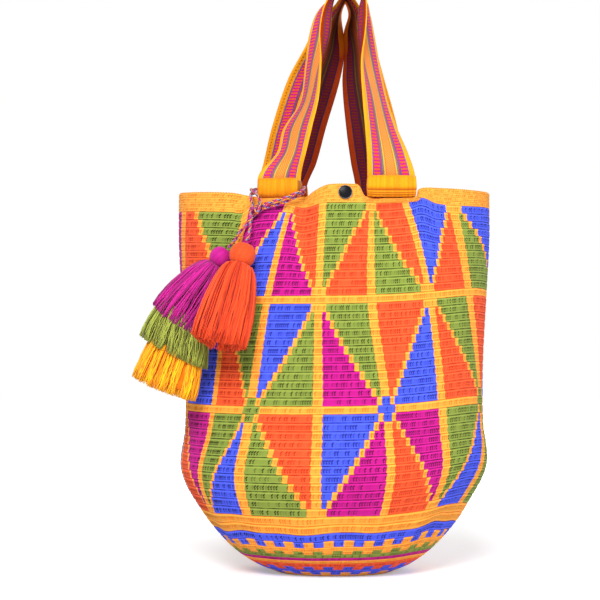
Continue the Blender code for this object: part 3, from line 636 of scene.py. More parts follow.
def through(stops, at):
    """A smooth value at places along sorted stops of (place, value), where a value is a number or a point."""
    places = np.array([place for place, _ in stops], float)
    values = np.array([value for _, value in stops], float)
    at = np.clip(np.asarray(at, float), places[0], places[-1])
    last = len(places) - 1
    i = np.clip(np.searchsorted(places, at, side="left") - 1, 0, last - 1)
    before, after = np.maximum(i - 1, 0), np.minimum(i + 2, last)
    start, end = values[i], values[i + 1]
    reach, t = places[i + 1] - places[i], (at - places[i]) / (places[i + 1] - places[i])
    wide_in, wide_out = places[i + 1] - places[before], places[after] - places[i]
    if values.ndim > 1:
        reach, t, wide_in, wide_out = (v[..., None] for v in (reach, t, wide_in, wide_out))
    slope_in = (end - values[before]) / wide_in
    slope_out = (values[after] - start) / wide_out
    return (
        start * (2 * t**3 - 3 * t**2 + 1) + slope_in * reach * (t**3 - 2 * t**2 + t)
        + end * (3 * t**2 - 2 * t**3) + slope_out * reach * (t**3 - t**2)
    )


WIDTHS = [(z * RIM_HEIGHT, a * BODY_HALF_WIDTH) for z, a, _ in PROFILE]
DEPTHS = [(z * RIM_HEIGHT, b * BODY_HALF_DEPTH) for z, _, b in PROFILE]
RIM_WIDTH = WIDTHS[-1][1]
RIM_DEPTH = DEPTHS[-1][1]


def angle_at(x, half_width):
    """The angle from the middle of the front at which the section crosses x."""
    share = np.minimum(np.abs(x) / half_width, 1.0)
    return np.sign(x) * np.arcsin(share ** (SECTION_POWER / 2))


def squared(value):
    """A sine or cosine drawn out towards the corners of the section."""
    return np.sign(value) * np.abs(value) ** (2 / SECTION_POWER)


def rim_drop(angle, z):
    """How far a row drops at these angles: as the rim's edge at the top, and as the panels below it."""
    x = RIM_WIDTH * squared(np.sin(angle))
    front = np.cos(angle) > 0
    edge = np.where(front, through(FRONT_RIM, x), through(REAR_RIM, x))
    panels = np.where(front, through(FRONT_PANELS, x), through(REAR_PANELS, x))
    band = smooth((z - RIM_HEIGHT + RIM_BAND) / RIM_BAND)
    upper = smooth((z - LINE_HEIGHTS[0]) / (RIM_HEIGHT - RIM_BAND - LINE_HEIGHTS[0]))
    return (panels + (edge - panels) * band) * upper


def low_wave(angle, z):
    """The uneven sag of the low rows, from -1 to 1."""
    sag = 0.6 * np.sin(WAVES[0] * angle + 0.9) + 0.4 * np.sin(WAVES[1] * angle + 1.2)
    return bell(z - WAVE_HEIGHT, WAVE_SPREAD) * sag


def lift(angle, z):
    """How far the rows ride above their height: drops near the rim, waves, and a rise on the right."""
    middle = np.sin(math.pi * np.clip((z - BAND_TOP) / (RIM_HEIGHT - BAND_TOP), 0.0, 1.0))
    rise = RIGHT_RISE * middle * bell(wrapped(angle - RISE_MIDDLE), RISE_SPREAD)
    low = LOW_RISE * bell(wrapped(angle - LOW_MIDDLE), LOW_SPREAD)
    low *= smooth(z / LOW_START) * smooth((LOW_END - z) / LOW_FADE)
    return rise - rim_drop(angle, z) + WAVE_RISE * low_wave(angle, z) + low


def folds(x, angle, z):
    """How far the surface moves outwards: tucks and a crease at the front, and low waves all round."""
    fade = smooth(1 - (RIM_HEIGHT - z) / TUCK_LENGTH)
    tucks = np.maximum(*(bell(x - place, TUCK_HALF_WIDTH) for place in TUCKS_X))
    first, last = CREASE_PATH[0][0], CREASE_PATH[-1][0]
    low = smooth((z - first) / CREASE_FADE) * smooth((last - z) / CREASE_FADE)
    crease = CREASE_DEPTH * low * bell(x - through(CREASE_PATH, z), CREASE_HALF_WIDTH)
    front = np.where(np.cos(angle) > 0, -TUCK_DEPTH * fade * tucks - crease, 0.0)
    return front + WAVE_DEPTH * low_wave(angle + WAVE_LAG, z)


def wall(angle, z, inset=0.0):
    """Points of the body's outer face, or as far inside it as inset says, at angles and heights."""
    angle, z = np.broadcast_arrays(np.asarray(angle, float), np.asarray(z, float))
    a, b = through(WIDTHS, z), through(DEPTHS, z)
    x, y = a * squared(np.sin(angle)), -b * squared(np.cos(angle))
    outward = unit(np.stack([x / a**2, y / b**2, np.zeros_like(x)], -1))
    moved = folds(x, angle, z) - inset
    return np.stack([x, y, z + lift(angle, z)], -1) + outward * moved[..., None]


def wall_facing(angle, z):
    """The way that the outer face looks at angles and heights."""
    along = wall(angle + FACING_STEP / BODY_HALF_DEPTH, z) - wall(angle, z)
    up = wall(angle, np.minimum(z + FACING_STEP, RIM_HEIGHT)) - wall(angle, np.maximum(z - FACING_STEP, 0.0))
    return unit(np.cross(along, up))


def line_angles(z):
    """The angles of the upright lines at a height, once round from the left edge of the front."""
    stops = (BAND_TOP, LINE_HEIGHTS[1], LINE_HEIGHTS[0], RIM_HEIGHT)
    angles = [float(angle_at(through(list(zip(stops, line[::-1])), z), 1.0)) for line in LINES_X]
    span = (math.tau + angles[0] - angles[-1]) / (REAR_LINES + 1)
    return angles + [angles[-1] + span * (k + 1) for k in range(REAR_LINES)]


def section_run(first, last, count, z):
    """Close angles from first to last at a height, and how far along the cloth each of them lies."""
    dense = np.linspace(first, last, count)
    return dense, distances(wall(dense, z)[:, :2])


def stitch_angles(z, stitches):
    """The angles of stitch places at a height: even along the cloth from each upright line to the next."""
    lines = np.array(line_angles(z))
    lines = np.concatenate([[lines[-1] - math.tau], lines, [lines[0] + math.tau, lines[1] + math.tau]])
    dense, run = section_run(lines[0], lines[-1], 3000, z)
    marks = np.arange(-1, len(lines) - 1) * PANEL
    return np.interp(np.interp(stitches, marks, np.interp(lines, dense, run)), run, dense)


def panel_stitch(stitch, tier, row, rows):
    """The colour of one stitch in a tier of panels."""
    panel, place = divmod(stitch, PANEL)
    if place < UPRIGHT:
        return "yellow"
    falls = (panel + tier) % 2 == 0
    reach = FIELD - DIAGONAL
    late = LATE_STARTS.get((tier, panel), 0)
    start = late + round(row * (reach - late) / (rows - 1))
    start = start if falls else reach - start
    place -= UPRIGHT
    if start <= place < start + DIAGONAL:
        return "yellow"
    upper, lower = PANEL_COLOURS[tier].split("|")[panel].split()
    return lower if (place < start) == falls else upper


def cross_stitch(stitch, step):
    """The colour of a cross at a stitch, or None, on the row that lies step rows from the level line."""
    line = round((stitch - UPRIGHT / 2 + 0.5) / PANEL)
    away = abs(stitch + 0.5 - UPRIGHT / 2 - line * PANEL)
    return CROSSES.get(line) if away < CROSS_HALVES[step + 1] else None


def wall_rows():
    """Every row of the wall, from the rim down: top and bottom height, and the colour of each stitch."""
    top = RIM_HEIGHT - RIM_BAND
    spans = [(RIM_HEIGHT, top, RIM_ROWS, None)]
    for tier, line in enumerate(LINE_HEIGHTS):
        bottom = line + LINE_WIDTH / 2
        spans.append((top, bottom, TIER_ROWS[tier], tier))
        top = bottom - LINE_WIDTH
        spans.append((bottom, top, 1, None))
    spans += [(top, BAND_TOP, TIER_ROWS[2], 2), (BAND_TOP, BAND_BOTTOM, BAND_ROWS, None)]
    rows = []
    for first, last, count, tier in spans:
        for row in range(count):
            colours = ["yellow"] * STITCHES
            if tier is not None:
                colours = [panel_stitch(s, tier, row, count) for s in range(STITCHES)]
            high, low = (first + (last - first) * r / count for r in (row, row + 1))
            rows.append([high, low, colours])
    middle = RIM_ROWS + TIER_ROWS[0] + 1 + TIER_ROWS[1]
    for step in (-1, 0, 1):
        row = rows[middle + step]
        row[2] = [cross_stitch(s, step) or row[2][s] for s in range(STITCHES)]
    return rows


def build_mesh(name, points, faces, uvs, materials, node, numbers=None):
    """A smooth mesh piece that rides on the bag in a node's place, with a stitch map and its materials."""
    data = bpy.data.meshes.new(name)
    data.from_pydata(np.reshape(points, (-1, 3)), [], faces)
    layer = data.uv_layers.new(name=STITCH_MAP)
    layer.data.foreach_set("uv", np.asarray(uvs, np.float32).ravel())
    numbers = np.zeros(len(faces)) if numbers is None else numbers
    data.polygons.foreach_set("material_index", np.ravel(numbers).astype(np.int32))
    data.polygons.foreach_set("use_smooth", np.ones(len(faces), bool))
    for one in materials:
        data.materials.append(one)
    data.update()
    piece = bpy.data.objects.new(name, data)
    bpy.context.scene.collection.objects.link(piece)
    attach(piece, "root")
    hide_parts(node)
    return piece


def grid_faces(rows, columns, closed=False, flip=False, start=0):
    """Four-sided faces of a grid of points, by rows; a closed grid joins its last column to its first."""
    across = columns if closed else columns - 1
    r, c = np.meshgrid(np.arange(rows - 1) * columns + start, np.arange(across), indexing="ij")
    n = (c + 1) % columns
    sides = [r + c, r + columns + c, r + columns + n, r + n]
    if flip:
        sides.reverse()
    return np.stack(sides, -1).reshape(-1, 4).tolist()


def grid_uvs(across, down, flip=False):
    """The map of a grid's faces, from one coordinate for each column and one for each row."""
    shape = (len(down) - 1, len(across) - 1)
    left, right = (np.broadcast_to(v, shape) for v in (across[:-1], across[1:]))
    top, bottom = (np.broadcast_to(np.asarray(v)[:, None], shape) for v in (down[:-1], down[1:]))
    corners = [(left, top), (left, bottom), (right, bottom), (right, top)]
    if flip:
        corners.reverse()
    return np.stack([np.stack(pair, -1) for pair in corners], -2).reshape(-1, 2).tolist()


def stitch_heights(kind, count, relief):
    """How far each post and groove of one ring stands out."""
    return np.where(np.arange(count) % 2 == 1, POST_HEIGHT[kind], GROOVE_HEIGHT[kind]) * relief


class CROCHET_OT_wall(bpy.types.Operator):
    """Build the crocheted wall of the bag, front and rear, stitch by stitch"""

    bl_idname = "tote.wall"
    bl_label = "Crochet Wall"

    def execute(self, context):
        settings = context.scene.tote
        rng = np.random.default_rng(SEED)
        rows = wall_rows()
        count = STITCHES * 2
        places = np.arange(count + 1) / 2
        uneven = rng.uniform(-UNEVEN, UNEVEN, (len(rows) * len(RING_PLACES) + 3, count))
        uneven = np.concatenate([uneven, uneven[:, :1]], axis=1)
        grid, downs = [], []
        angles = stitch_angles(RIM_HEIGHT, places)
        for inset, rise, down in RIM_EDGE:
            ring = wall(angles, RIM_HEIGHT, WALL * inset)
            ring[:, 2] += rise + np.where(np.arange(count + 1) % 2 == 1, RIM_TEETH, -RIM_TEETH)
            grid.append(ring)
            downs.append(down)
        for number, (high, low, _) in enumerate(rows):
            last = (1.0,) if number + 1 == len(rows) else ()
            for k, share in enumerate((*RING_PLACES, *last)):
                kind = k % len(RING_PLACES)
                z = high + (low - high) * share
                angles = stitch_angles(z, places + RING_LEAN[kind])
                height = stitch_heights(kind, count + 1, settings.relief) + uneven[len(grid) % len(uneven)]
                grid.append(wall(angles, z) + wall_facing(angles, z) * height[:, None])
                downs.append(number + share)
        grid = np.array(grid)
        edge = FRONT_SPAN * PANEL * 2
        materials = crochet_materials(settings)
        for name, first, last in (("crochet_front", 0, edge), ("crochet_rear", edge, count)):
            part = grid[:, first : last + 1]
            numbers = []
            for down in downs[:-1]:
                colours = rows[int(down + 1e-6)][2]
                numbers.append([CROCHET.index(colours[c // 2]) for c in range(first, last)])
            uvs = grid_uvs(places[first : last + 1], downs)
            faces = grid_faces(*part.shape[:2])
            build_mesh(name, part, faces, uvs, materials, "bag_body", numbers)
        return {"FINISHED"}


def base_surface(level, count):
    """Points and facing round the base, at a height above 0 or, below 0, that far in on the flat spot."""
    z = max(level, 0.0)
    first = line_angles(z)[0]
    dense, run = section_run(first, first + math.tau, 2000, z)
    angles = np.interp(run[-1] * np.arange(count) / count, run, dense)
    points, facing = wall(angles, z), wall_facing(angles, z)
    if level <= 0.0:
        points = points * np.array((1.0 + level, 1.0 + level, 0.0))
        under = np.array((0.0, 0.0, -1.0))
        facing = unit(facing + under if level == 0.0 else np.broadcast_to(under, facing.shape))
    return points, facing


def base_rows():
    """The base's rows as (upper level, lower level, colours), heights first and then the flat spot."""
    edges = [BAND_BOTTOM] + [z for z, _ in BASE_ROWS] + [share - 1.0 for share, _ in FLAT_ROWS]
    colours = [c.split() for _, c in (*BASE_ROWS, *FLAT_ROWS)]
    return list(zip(edges, edges[1:], colours))


def tooth(colours, stitch):
    """The colour of a stitch in a row of the base, where two colours take turns."""
    return colours[(stitch // (TEETH // 2)) % len(colours)]


def zip_rings(a, m, b, n):
    """Triangles between a ring of m points from a on and a ring of n points from b on."""
    i = j = 0
    faces = []
    while i < m or j < n:
        if j >= n or (i < m and (i + 1) * n <= (j + 1) * m):
            faces.append((a + i % m, b + j % n, a + (i + 1) % m))
            i += 1
        else:
            faces.append((a + i % m, b + j % n, b + (j + 1) % n))
            j += 1
    return faces


class CROCHET_OT_base(bpy.types.Operator):
    """Build the rounded base of the bag in rings that narrow towards its middle"""

    bl_idname = "tote.base"
    bl_label = "Crochet Base"

    def execute(self, context):
        settings = context.scene.tote
        rng = np.random.default_rng(SEED + 1)
        points, faces, uvs, numbers, rings = [], [], [], [], []
        for number, (high, low, colours) in enumerate(base_rows()):
            middle = (high + low) / 2
            girth = distances(wall(np.linspace(0, math.tau, 400), max(middle, 0.0)))[-1]
            size = girth * (1.0 + min(middle, 0.0))
            count = 2 * max(TEETH * round(size / STITCH_WIDTH / TEETH), TEETH)
            for kind, share in enumerate(RING_PLACES):
                place, facing = base_surface(high + (low - high) * share, count)
                height = stitch_heights(kind, count, settings.relief) + rng.uniform(-UNEVEN, UNEVEN, count)
                made = place + facing * height[:, None]
                made[:, 2] = np.maximum(made[:, 2], 0.0)
                rings.append((len(points), count, number, share, colours))
                points.extend(made.tolist())
        for (first, count, number, share, colours), (start, fewer, _, lower, _) in zip(rings, rings[1:]):
            for face in zip_rings(first, count, start, fewer):
                owned = [v - first for v in face if v < start]
                column = min(owned) if max(owned) - min(owned) <= 2 else max(owned)
                numbers.append(CROCHET.index(tooth(colours, column // 2)))
                for v in face:
                    above = v < start
                    place = (v - first) / 2 if above else (v - start) / fewer * count / 2
                    if place + 2 < column / 2:
                        place += count / 2
                    uvs.append((place, number + (share if above else lower or 1.0)))
                faces.append(face)
        first, count, number, share, _ = rings[-1]
        for k in range(count):
            faces.append((first + k, len(points), first + (k + 1) % count))
            numbers.append(CROCHET.index("yellow"))
            uvs += [(k / 2, number + share), (k / 2, number + 1.0), ((k + 1) / 2, number + share)]
        points.append((0.0, 0.0, 0.0))
        materials = crochet_materials(settings)
        build_mesh("crochet_base", points, faces, uvs, materials, "bag_body", numbers)
        return {"FINISHED"}


class CROCHET_OT_lining(bpy.types.Operator):
    """Build the inner face of the crochet, down the wall and over the base"""

    bl_idname = "tote.lining"
    bl_label = "Crochet Inside"

    def execute(self, context):
        rows = wall_rows()
        rows += [(high, low, [tooth(pair, s) for s in range(STITCHES)]) for high, low, pair in base_rows()]
        places = np.arange(STITCHES + 1, dtype=float)
        grid, downs, numbers = [], [], []
        for number, (high, low, colours) in enumerate(rows):
            for share in (0.0, 0.5):
                level = high + (low - high) * share
                angles = stitch_angles(max(level, 0.0), places)
                ring = wall(angles, max(level, 0.0))
                if level > 0.0:
                    ring -= wall_facing(angles, level) * (WALL + (ROW_HOLLOW if share else 0.0))
                else:
                    ring *= np.array((1.0 + level, 1.0 + level, 0.0))
                ring[:, 2] = np.maximum(ring[:, 2], WALL)
                grid.append(ring)
                downs.append(number + share)
                numbers.append([CROCHET.index(c) for c in colours])
        grid.append(np.zeros((STITCHES + 1, 3)) + np.array((0.0, 0.0, WALL)))
        downs.append(float(len(rows)))
        grid[0][:, 2] -= 0.0006
        faces = grid_faces(len(grid), STITCHES + 1, flip=True)
        uvs, materials = grid_uvs(places, downs, flip=True), crochet_materials(context.scene.tote)
        build_mesh("crochet_inside", grid, faces, uvs, materials, "bag_body", numbers)
        return {"FINISHED"}


def front_points(xs, z, inset, rear):
    """Points of the front or rear wall at places along X."""
    angle = angle_at(np.asarray(xs, float), through(WIDTHS, z))
    return wall(math.pi - angle if rear else angle, z, inset)


def strap_end(ends, z, rear):
    """The two edge points of a handle's sewn end, straight across, just clear of the rim's inner face."""
    line = front_points(np.linspace(*ends, STRAP_ACROSS + 1), z, WALL + GAP + STRAP_THICK / 2, rear)
    facing = -1 if rear else 1
    chord = np.linspace(line[0, 1], line[-1, 1], STRAP_ACROSS + 1)
    moved = np.array((0, facing * (float(np.max(facing * (line[:, 1] - chord))) + STRAP_EASE), 0))
    return line[0] + moved, line[-1] + moved


def free_station(station, side):
    """The outer edge, inner edge and bow of a handle at a free station, on the left (1) or the right (-1)."""
    x, deep, high, turn, share, bow = station
    low = RIM_HEIGHT - ROLL_SEAT + ROLL_HEIGHT
    middle = np.array((x * BODY_HALF_WIDTH, deep * RIM_DEPTH, low + high * (HANDLE_TOP - low)))
    turn = math.radians(turn)
    reach = np.array((side * math.cos(turn), math.sin(turn), 0)) * share * STRAP_WIDTH / 2
    return middle - reach, middle + reach, bow


def strap_stations(left_end, right_end, left, right, top_y, rear):
    """A handle's route from the left end to the right, as (outer edge, inner edge, bow)."""
    clear = np.array((0, 0, ROLL_HEIGHT + GAP))
    sewn = []
    for ends in (left_end, right_end[::-1]):
        seam, rim = (strap_end(ends, z, rear) for z in (RIM_HEIGHT - STRAP_SEAM, RIM_HEIGHT))
        sewn.append([(*seam, 0.0), (*rim, 0.0), (*(edge + clear for edge in rim), 0.0)])
    reach = np.array((0, (1 if rear else -1) * STRAP_WIDTH / 2, 0))
    apex = np.array((HANDLE_TOP_X, top_y * RIM_DEPTH, HANDLE_TOP - STRAP_THICK / 2))
    rows = sewn[0] + [free_station(station, 1) for station in left] + [(apex - reach, apex + reach, 0.0)]
    return rows + [free_station(station, -1) for station in right] + sewn[1][::-1]


def band_material(name, stripes, rungs, dark, flecked, shaded=0.0, looped=0.0):
    """A woven band: stripes along it, two ladders of rungs, a checked middle, and the weave's fine ribs; a
    shaded face takes painted shade towards its inner edge and, when looped, painted light on its edge about
    the loop.
    """
    graph = Graph(name, 0.80, sheen=0.0 if shaded else 0.06)
    across, along = graph.stitches()
    places = np.cumsum([0.0] + [width / BAND_WIDE for width, _ in stripes])
    stops = [(float(place), colour) for place, (_, colour) in zip(places, stripes)]
    ramp = graph.node("ValToRGB", {0: across * (1 / BAND_WIDE)}, stops)
    centred = abs(across - BAND_WIDE / 2)
    step = (along + centred * RUNG_SLANT) * (1 / RUNG_PERIOD)
    bars = graph.mix(step.maths("FRACT") > 0.5, *rungs)
    ladder = (centred > LADDER[0]) * (centred < LADDER[1])
    striped = graph.mix(ladder, ramp.outputs[0], bars)
    middle = centred < CHECK_HALF
    check = ((across * 0.8 + along) * (1 / CHECK_PERIOD)).maths("FRACT") > 0.55
    striped = graph.mix(middle * check * 0.75, striped, flecked)
    edge = centred > EDGE_FROM
    low = (along * (1 / FLECK_PERIOD)).maths("FRACT")
    dots = spot((centred - (EDGE_FROM + FLECK_IN)) * 0.4, low, (0.0, 0.5), 0.42, 0.9, edge=2.0)
    fleck = graph.mix(0.5, striped, flecked) if flecked != dark else dark
    striped = graph.mix(edge * dots * 0.7, striped, fleck)
    ribs = across.wave()
    picks = (along * (1 / 1.5) + across * 0.5).wave()
    gap = ladder * ((1.0 - abs((step * 2.0).maths("FRACT") - 0.5) * 2.0) < 0.16)
    border = (sum((abs(centred - side) < 0.35 for side in LADDER), 0.0)).clamped()
    weave = ribs * 0.5 + picks * 0.5
    fuzz = graph.noise(1400.0)
    tone = (weave * 0.45 + fuzz * 0.5 + graph.noise(60.0, 3.0) * 0.3).clamped()
    shown = graph.mix(tone, graph.mix(0.45, striped, dark), striped)
    thin = (1.0 - edge) * (1.0 - ladder) * (1.0 - middle) * (picks < 0.3)
    shown = graph.mix((gap * 0.5 + border * picks * 0.7 + thin * 0.5).clamped(), shown, dark)
    if shaded:
        # Painted shade darkens the face towards its inner edge; about the rear loop the edge stripe grows
        # wider and lighter as painted light
        far = ((across * (1 / BAND_WIDE) - SHADE_FROM) * (1 / SHADE_SPAN)).clamped()
        near = along.peak(LOOP_MIDDLE, LOOP_REACH) * looped
        hem = centred > near * -LOOP_EDGE + EDGE_FROM
        shown = graph.mix(far * (1.0 - hem) * shaded, shown, SHADED_FACE)
        shown = graph.mix(far * hem, shown, graph.mix((near * 1.6).clamped(), SHADED_EDGE, LOOP_PAINTED_LIGHT))
    return graph.finish(shown, weave * 0.7 + fuzz * 0.3 - gap, 0.0004)


def band_stripes(edge, inside, outside):
    """The stripes across a handle, as (width in millimetres, colour)."""
    half = list(zip(STRIPE_WIDTHS, (edge, SKY, RED, BLUE, RED, inside, outside)))
    return half + [(BAND_WIDE - 2 * sum(STRIPE_WIDTHS), PEACH)] + half[::-1]


def band_materials(shaded, looped=0.0):
    """The outer and the inner face of a handle; the inner face takes painted shade, and painted light about
    the loop when looped.
    """
    outer = band_stripes((1.0, 0.40, 0.006), TEAL, LEMON)
    inner = band_stripes((0.95, 0.36, 0.005), LEMON, TEAL)
    return [
        band_material("band_outer", outer, OUTER_RUNGS, BAND_DARK, FLECKED),
        band_material("band_inner", inner, LIT_INNER_RUNGS, BAND_DARK, BAND_DARK, shaded, looped),
    ]


def build_band(name, stations, node, materials):
    """A woven band through its stations, with ribbed faces and rounded edges."""
    places = distances(np.array([(a + b) / 2 for a, b, _ in stations]))
    rings = int(places[-1] / BAND_STEP)
    at = np.linspace(0, places[-1], rings + 1)
    outer, inner, bow = (through([(s, row[k]) for s, row in zip(places, stations)], at) for k in range(3))
    count = BAND_COLUMNS
    shares = np.arange(count + 1) / count
    rise = np.where(shares < BOW_PEAK, (shares / BOW_PEAK) ** BOW_POWER, (1 - shares) / (1 - BOW_PEAK))
    rise = np.convolve(np.pad(rise, 3, mode="reflect", reflect_type="odd"), np.full(7, 1 / 7), "valid")
    reach = inner - outer
    away = unit(np.stack([-reach[:, 1], reach[:, 0], np.zeros(len(reach))], -1)) * bow[:, None]
    sheet = outer[:, None] + reach[:, None] * shares[None, :, None] + away[:, None] * rise[None, :, None]
    facing = unit(np.cross(np.gradient(sheet, axis=1), np.gradient(sheet, axis=0)))
    edge = np.minimum(shares, 1 - shares) * count
    half = STRAP_THICK / 2 * np.clip(0.45 + 0.55 * np.sqrt(np.clip(edge / 2.0, 0, 1)), 0, 1)
    half = half - RIB_DEPTH * (np.arange(count + 1) % 2)
    rounded = facing * half[None, :, None]
    grid = np.concatenate([sheet + rounded, (sheet - rounded)[:, ::-1]], axis=1)
    columns = grid.shape[1]
    faces = grid_faces(rings + 1, columns, closed=True, flip=True)
    wide = shares * BAND_WIDE
    uvs = grid_uvs(np.concatenate([wide, wide[::-1], [0.0]]), at * 1000, flip=True)
    numbers = [int(c > count) for _ in range(rings) for c in range(columns)]
    for ring, turn in ((0, -1), (rings, 1)):
        for k in range(count):
            a, c = ring * columns + k, ring * columns + columns - 2 - k
            faces.append((a, a + 1, c, c + 1)[::turn])
            uvs += [(wide[k], at[ring] * 1000)] * 4
    numbers += [0] * (2 * count)
    build_mesh(name, grid, faces, uvs, materials, node, numbers)


class CROCHET_OT_handles(bpy.types.Operator):
    """Build the two woven handles"""

    bl_idname = "tote.handles"
    bl_label = "Woven Handles"

    def execute(self, context):
        # The inner faces take painted shade, and the rear loop's edge takes painted light
        front = strap_stations(FRONT_LEFT_END, FRONT_RIGHT_END, FRONT_LEFT, FRONT_RIGHT, FRONT_TOP_Y, False)
        build_band("band_front", front, "front_handle", band_materials(FRONT_SHADE))
        rear = strap_stations(REAR_LEFT_END, REAR_RIGHT_END, REAR_LEFT, REAR_RIGHT, REAR_TOP_Y, True)
        build_band("band_rear", rear, "rear_handle", band_materials(REAR_SHADE, 1.0)[::-1])
        return {"FINISHED"}


def thread_material(name, colour, deep, roughness, sheen, lines=()):
    """Wound or loose thread: fine strands along the piece's own map, with painted highlight on the ridges and
    painted shade in the gaps, tone at random, and any given lines painted dark as shade.
    """
    graph = Graph(name, roughness, sheen=sheen)
    across, along = graph.stitches()
    strand = graph.node("CombineXYZ", {"X": across * 0.45, "Y": along * 0.10})
    bundle = graph.value("TexNoise", {"Vector": strand.outputs[0], "Scale": 1.0})
    ridge = across.wave()
    wear = graph.noise(70.0, 3.0)
    fuzz = graph.noise(900.0, 3.0)
    # The ridge's share is painted highlight and shade; bundles, fuzz and wear vary the tone at random
    tone = (ridge * 0.40 + fuzz * 0.55 + bundle * 1.9 - 1.0).clamped()
    shown = graph.mix(tone, graph.mix(0.5, colour, deep), shade(colour, 1.15))
    shown = graph.mix(((wear - 0.45) * 1.8).clamped(), shown, shade(colour, 0.78))
    # Painted shade: dark lines in the valleys of a ridged roll
    for place, half in lines:
        shown = graph.mix(along.peak(place, half), shown, deep)
    return graph.finish(shown, ridge * 0.6 + fuzz * 0.5)


def strand_material(name, colour, deep):
    """Loose threads, each with its own tone, and the core under them painted dark as shade."""
    graph = Graph(name, 0.66, sheen=0.10)
    across, along = graph.stitches()
    chance = graph.chance(across.maths("FLOOR"))
    twist = (along * 60.0 + across * 2.0).wave()
    tone = (chance * 1.15 + twist * 0.12 + graph.noise(90.0) * 0.5 - 0.36).clamped()
    shown = graph.mix(tone, graph.mix(0.62, colour, deep), shade(colour, 1.25))
    # Painted shade: the core under the strands takes most of the deep colour
    shown = graph.mix((across < -1.0) * 0.85, shown, deep)
    return graph.finish(shown, twist, 0.0002, 0.5)


def build_roll(place, ends, rear, materials, height=1.0, hollow=0.0, thin=False):
    """A bundle of thread wound about a level axis, on top of the rim and against its handle."""
    rim = front_points(np.linspace(*ends, 30), RIM_HEIGHT, 0.0, rear)
    base = float(np.max(rim[:, 2])) + GAP
    first, last = strap_end(ends, RIM_HEIGHT, rear)
    off = np.array((0, (1 if rear else -1) * (STRAP_THICK / 2 + GAP * 2 + ROLL_DEPTH / 2), 0))
    turns = int((ends[1] - ends[0]) / WOUND_THREAD)
    rings = turns * 4
    turn = circle(ROLL_SIDES)
    across, up = np.cos(turn), np.sin(turn)
    waist = 1 - 0.50 * bell(up + 0.36, 0.13) - 0.12 * bell(up + 0.80, 0.05) if thin else 1.0
    name = f"wound_{place}"
    rng = np.random.default_rng(SEED + len(name) + int(rear) * 5 + int(thin))
    loose = np.repeat(rng.uniform(-ROLL_UNEVEN, ROLL_UNEVEN, turns + 1), 4)[: rings + 1]
    grid = []
    for k in range(-3, rings + 4):
        share = min(max(k / rings, 0.0), 1.0)
        past = min(k, 0) + max(k - rings, 0)
        closing = ROLL_CLOSING[abs(past)]
        thread = THREAD_RISE * abs(math.sin(math.pi * share * turns)) + loose[min(max(k, 0), rings)]
        bulge = 1.0 - 0.07 * abs(2 * share - 1) ** 3
        middle = first + (last - first) * share + off + np.array((past * 0.00035, 0, 0))
        deep = middle[1] + across * waist * closing * (ROLL_DEPTH / 2 * bulge + thread)
        closing *= 1 - 0.25 * float(smooth((share - 1 + hollow) * 20)) if hollow else 1.0
        high = base + ROLL_HEIGHT * height / 2 + up * closing * (ROLL_HEIGHT * height / 2 * bulge + thread)
        grid.append(np.stack([np.full(ROLL_SIDES, middle[0]), deep, high], -1))
    faces = grid_faces(len(grid), ROLL_SIDES, closed=True, flip=True)
    uvs = grid_uvs(np.arange(ROLL_SIDES + 1) / 4.0, np.arange(len(grid)) / 4.0, flip=True)
    uvs = [(v, u) for u, v in uvs] + [(0.0, 0.0)] * (2 * ROLL_SIDES)
    end = list(range(ROLL_SIDES))
    faces += [end[::-1], [(len(grid) - 1) * ROLL_SIDES + k for k in end]]
    # Faces in the hollow end take the second material, painted dark as the shade inside the fold
    numbers = [hollow > 0 and k // ROLL_SIDES / len(grid) > 1 - hollow for k in range(len(faces))]
    build_mesh(name, grid, faces, uvs, materials, f"wrap_{place}", numbers)


class CROCHET_OT_rolls(bpy.types.Operator):
    """Build the rolls of wound thread that bind the handles to the rim"""

    bl_idname = "tote.rolls"
    bl_label = "Wound Rolls"

    def execute(self, context):
        gold = thread_material("golden_thread", *GOLD, 0.6, 0.05)
        shaded_fold = thread_material("worn_thread", *SHADED_FOLD, 0.7, 0.2)
        ridged = thread_material("ridged_thread", *RIDGED, 0.6, 0.05, ROLL_SHADE_LINES)
        # The front left roll's hollow end is painted dark as shade
        build_roll("front_left", FRONT_LEFT_END, False, [gold, shaded_fold], 0.86, 0.11)
        build_roll("front_right", FRONT_RIGHT_END, False, [ridged], thin=True)
        build_roll("rear_left", REAR_LEFT_END, True, [gold])
        build_roll("rear_right", REAR_RIGHT_END, True, [gold])
        return {"FINISHED"}


def tube_mesh(paths, radii, sides):
    """Points, faces and map of many thin tubes; paths is (tube, step, 3) and radii (tube, step)."""
    tubes, steps = paths.shape[:2]
    along = unit(np.gradient(paths, axis=1))
    one = unit(np.cross(along, np.where(np.abs(along[..., :1]) < 0.8, (1.0, 0.0, 0.0), (0.0, 1.0, 0.0))))
    two = np.cross(along, one)
    turn = circle(sides)[None, None, :, None]
    ring = one[:, :, None] * np.cos(turn) + two[:, :, None] * np.sin(turn)
    points = paths[:, :, None] + ring * radii[:, :, None, None]
    single = np.array(grid_faces(steps, sides, closed=True))
    faces, uvs, ends = [], [], []
    ring_uvs = np.array(grid_uvs(np.arange(sides + 1) / sides, np.arange(steps) / steps))
    for tube in range(tubes):
        start = tube * steps * sides
        faces += (single + start).tolist()
        uvs += (ring_uvs + (tube, 0)).tolist()
        ends.append([start + k for k in range(sides)])
    ends += [[k + (steps - 1) * sides for k in reversed(end)] for end in ends]
    uvs += [(k + 0.5, 0.5) for k in range(tubes) for _ in range(sides)] * 2
    return points.reshape(-1, 3), faces + ends, uvs


def across_axis(axis):
    """The long axis at unit length, and the two directions across it."""
    axis = unit(axis)
    across = unit(np.stack([-axis[..., 2], np.zeros(axis.shape[:-1]), axis[..., 0]], -1))
    return axis, across, np.cross(axis, across)


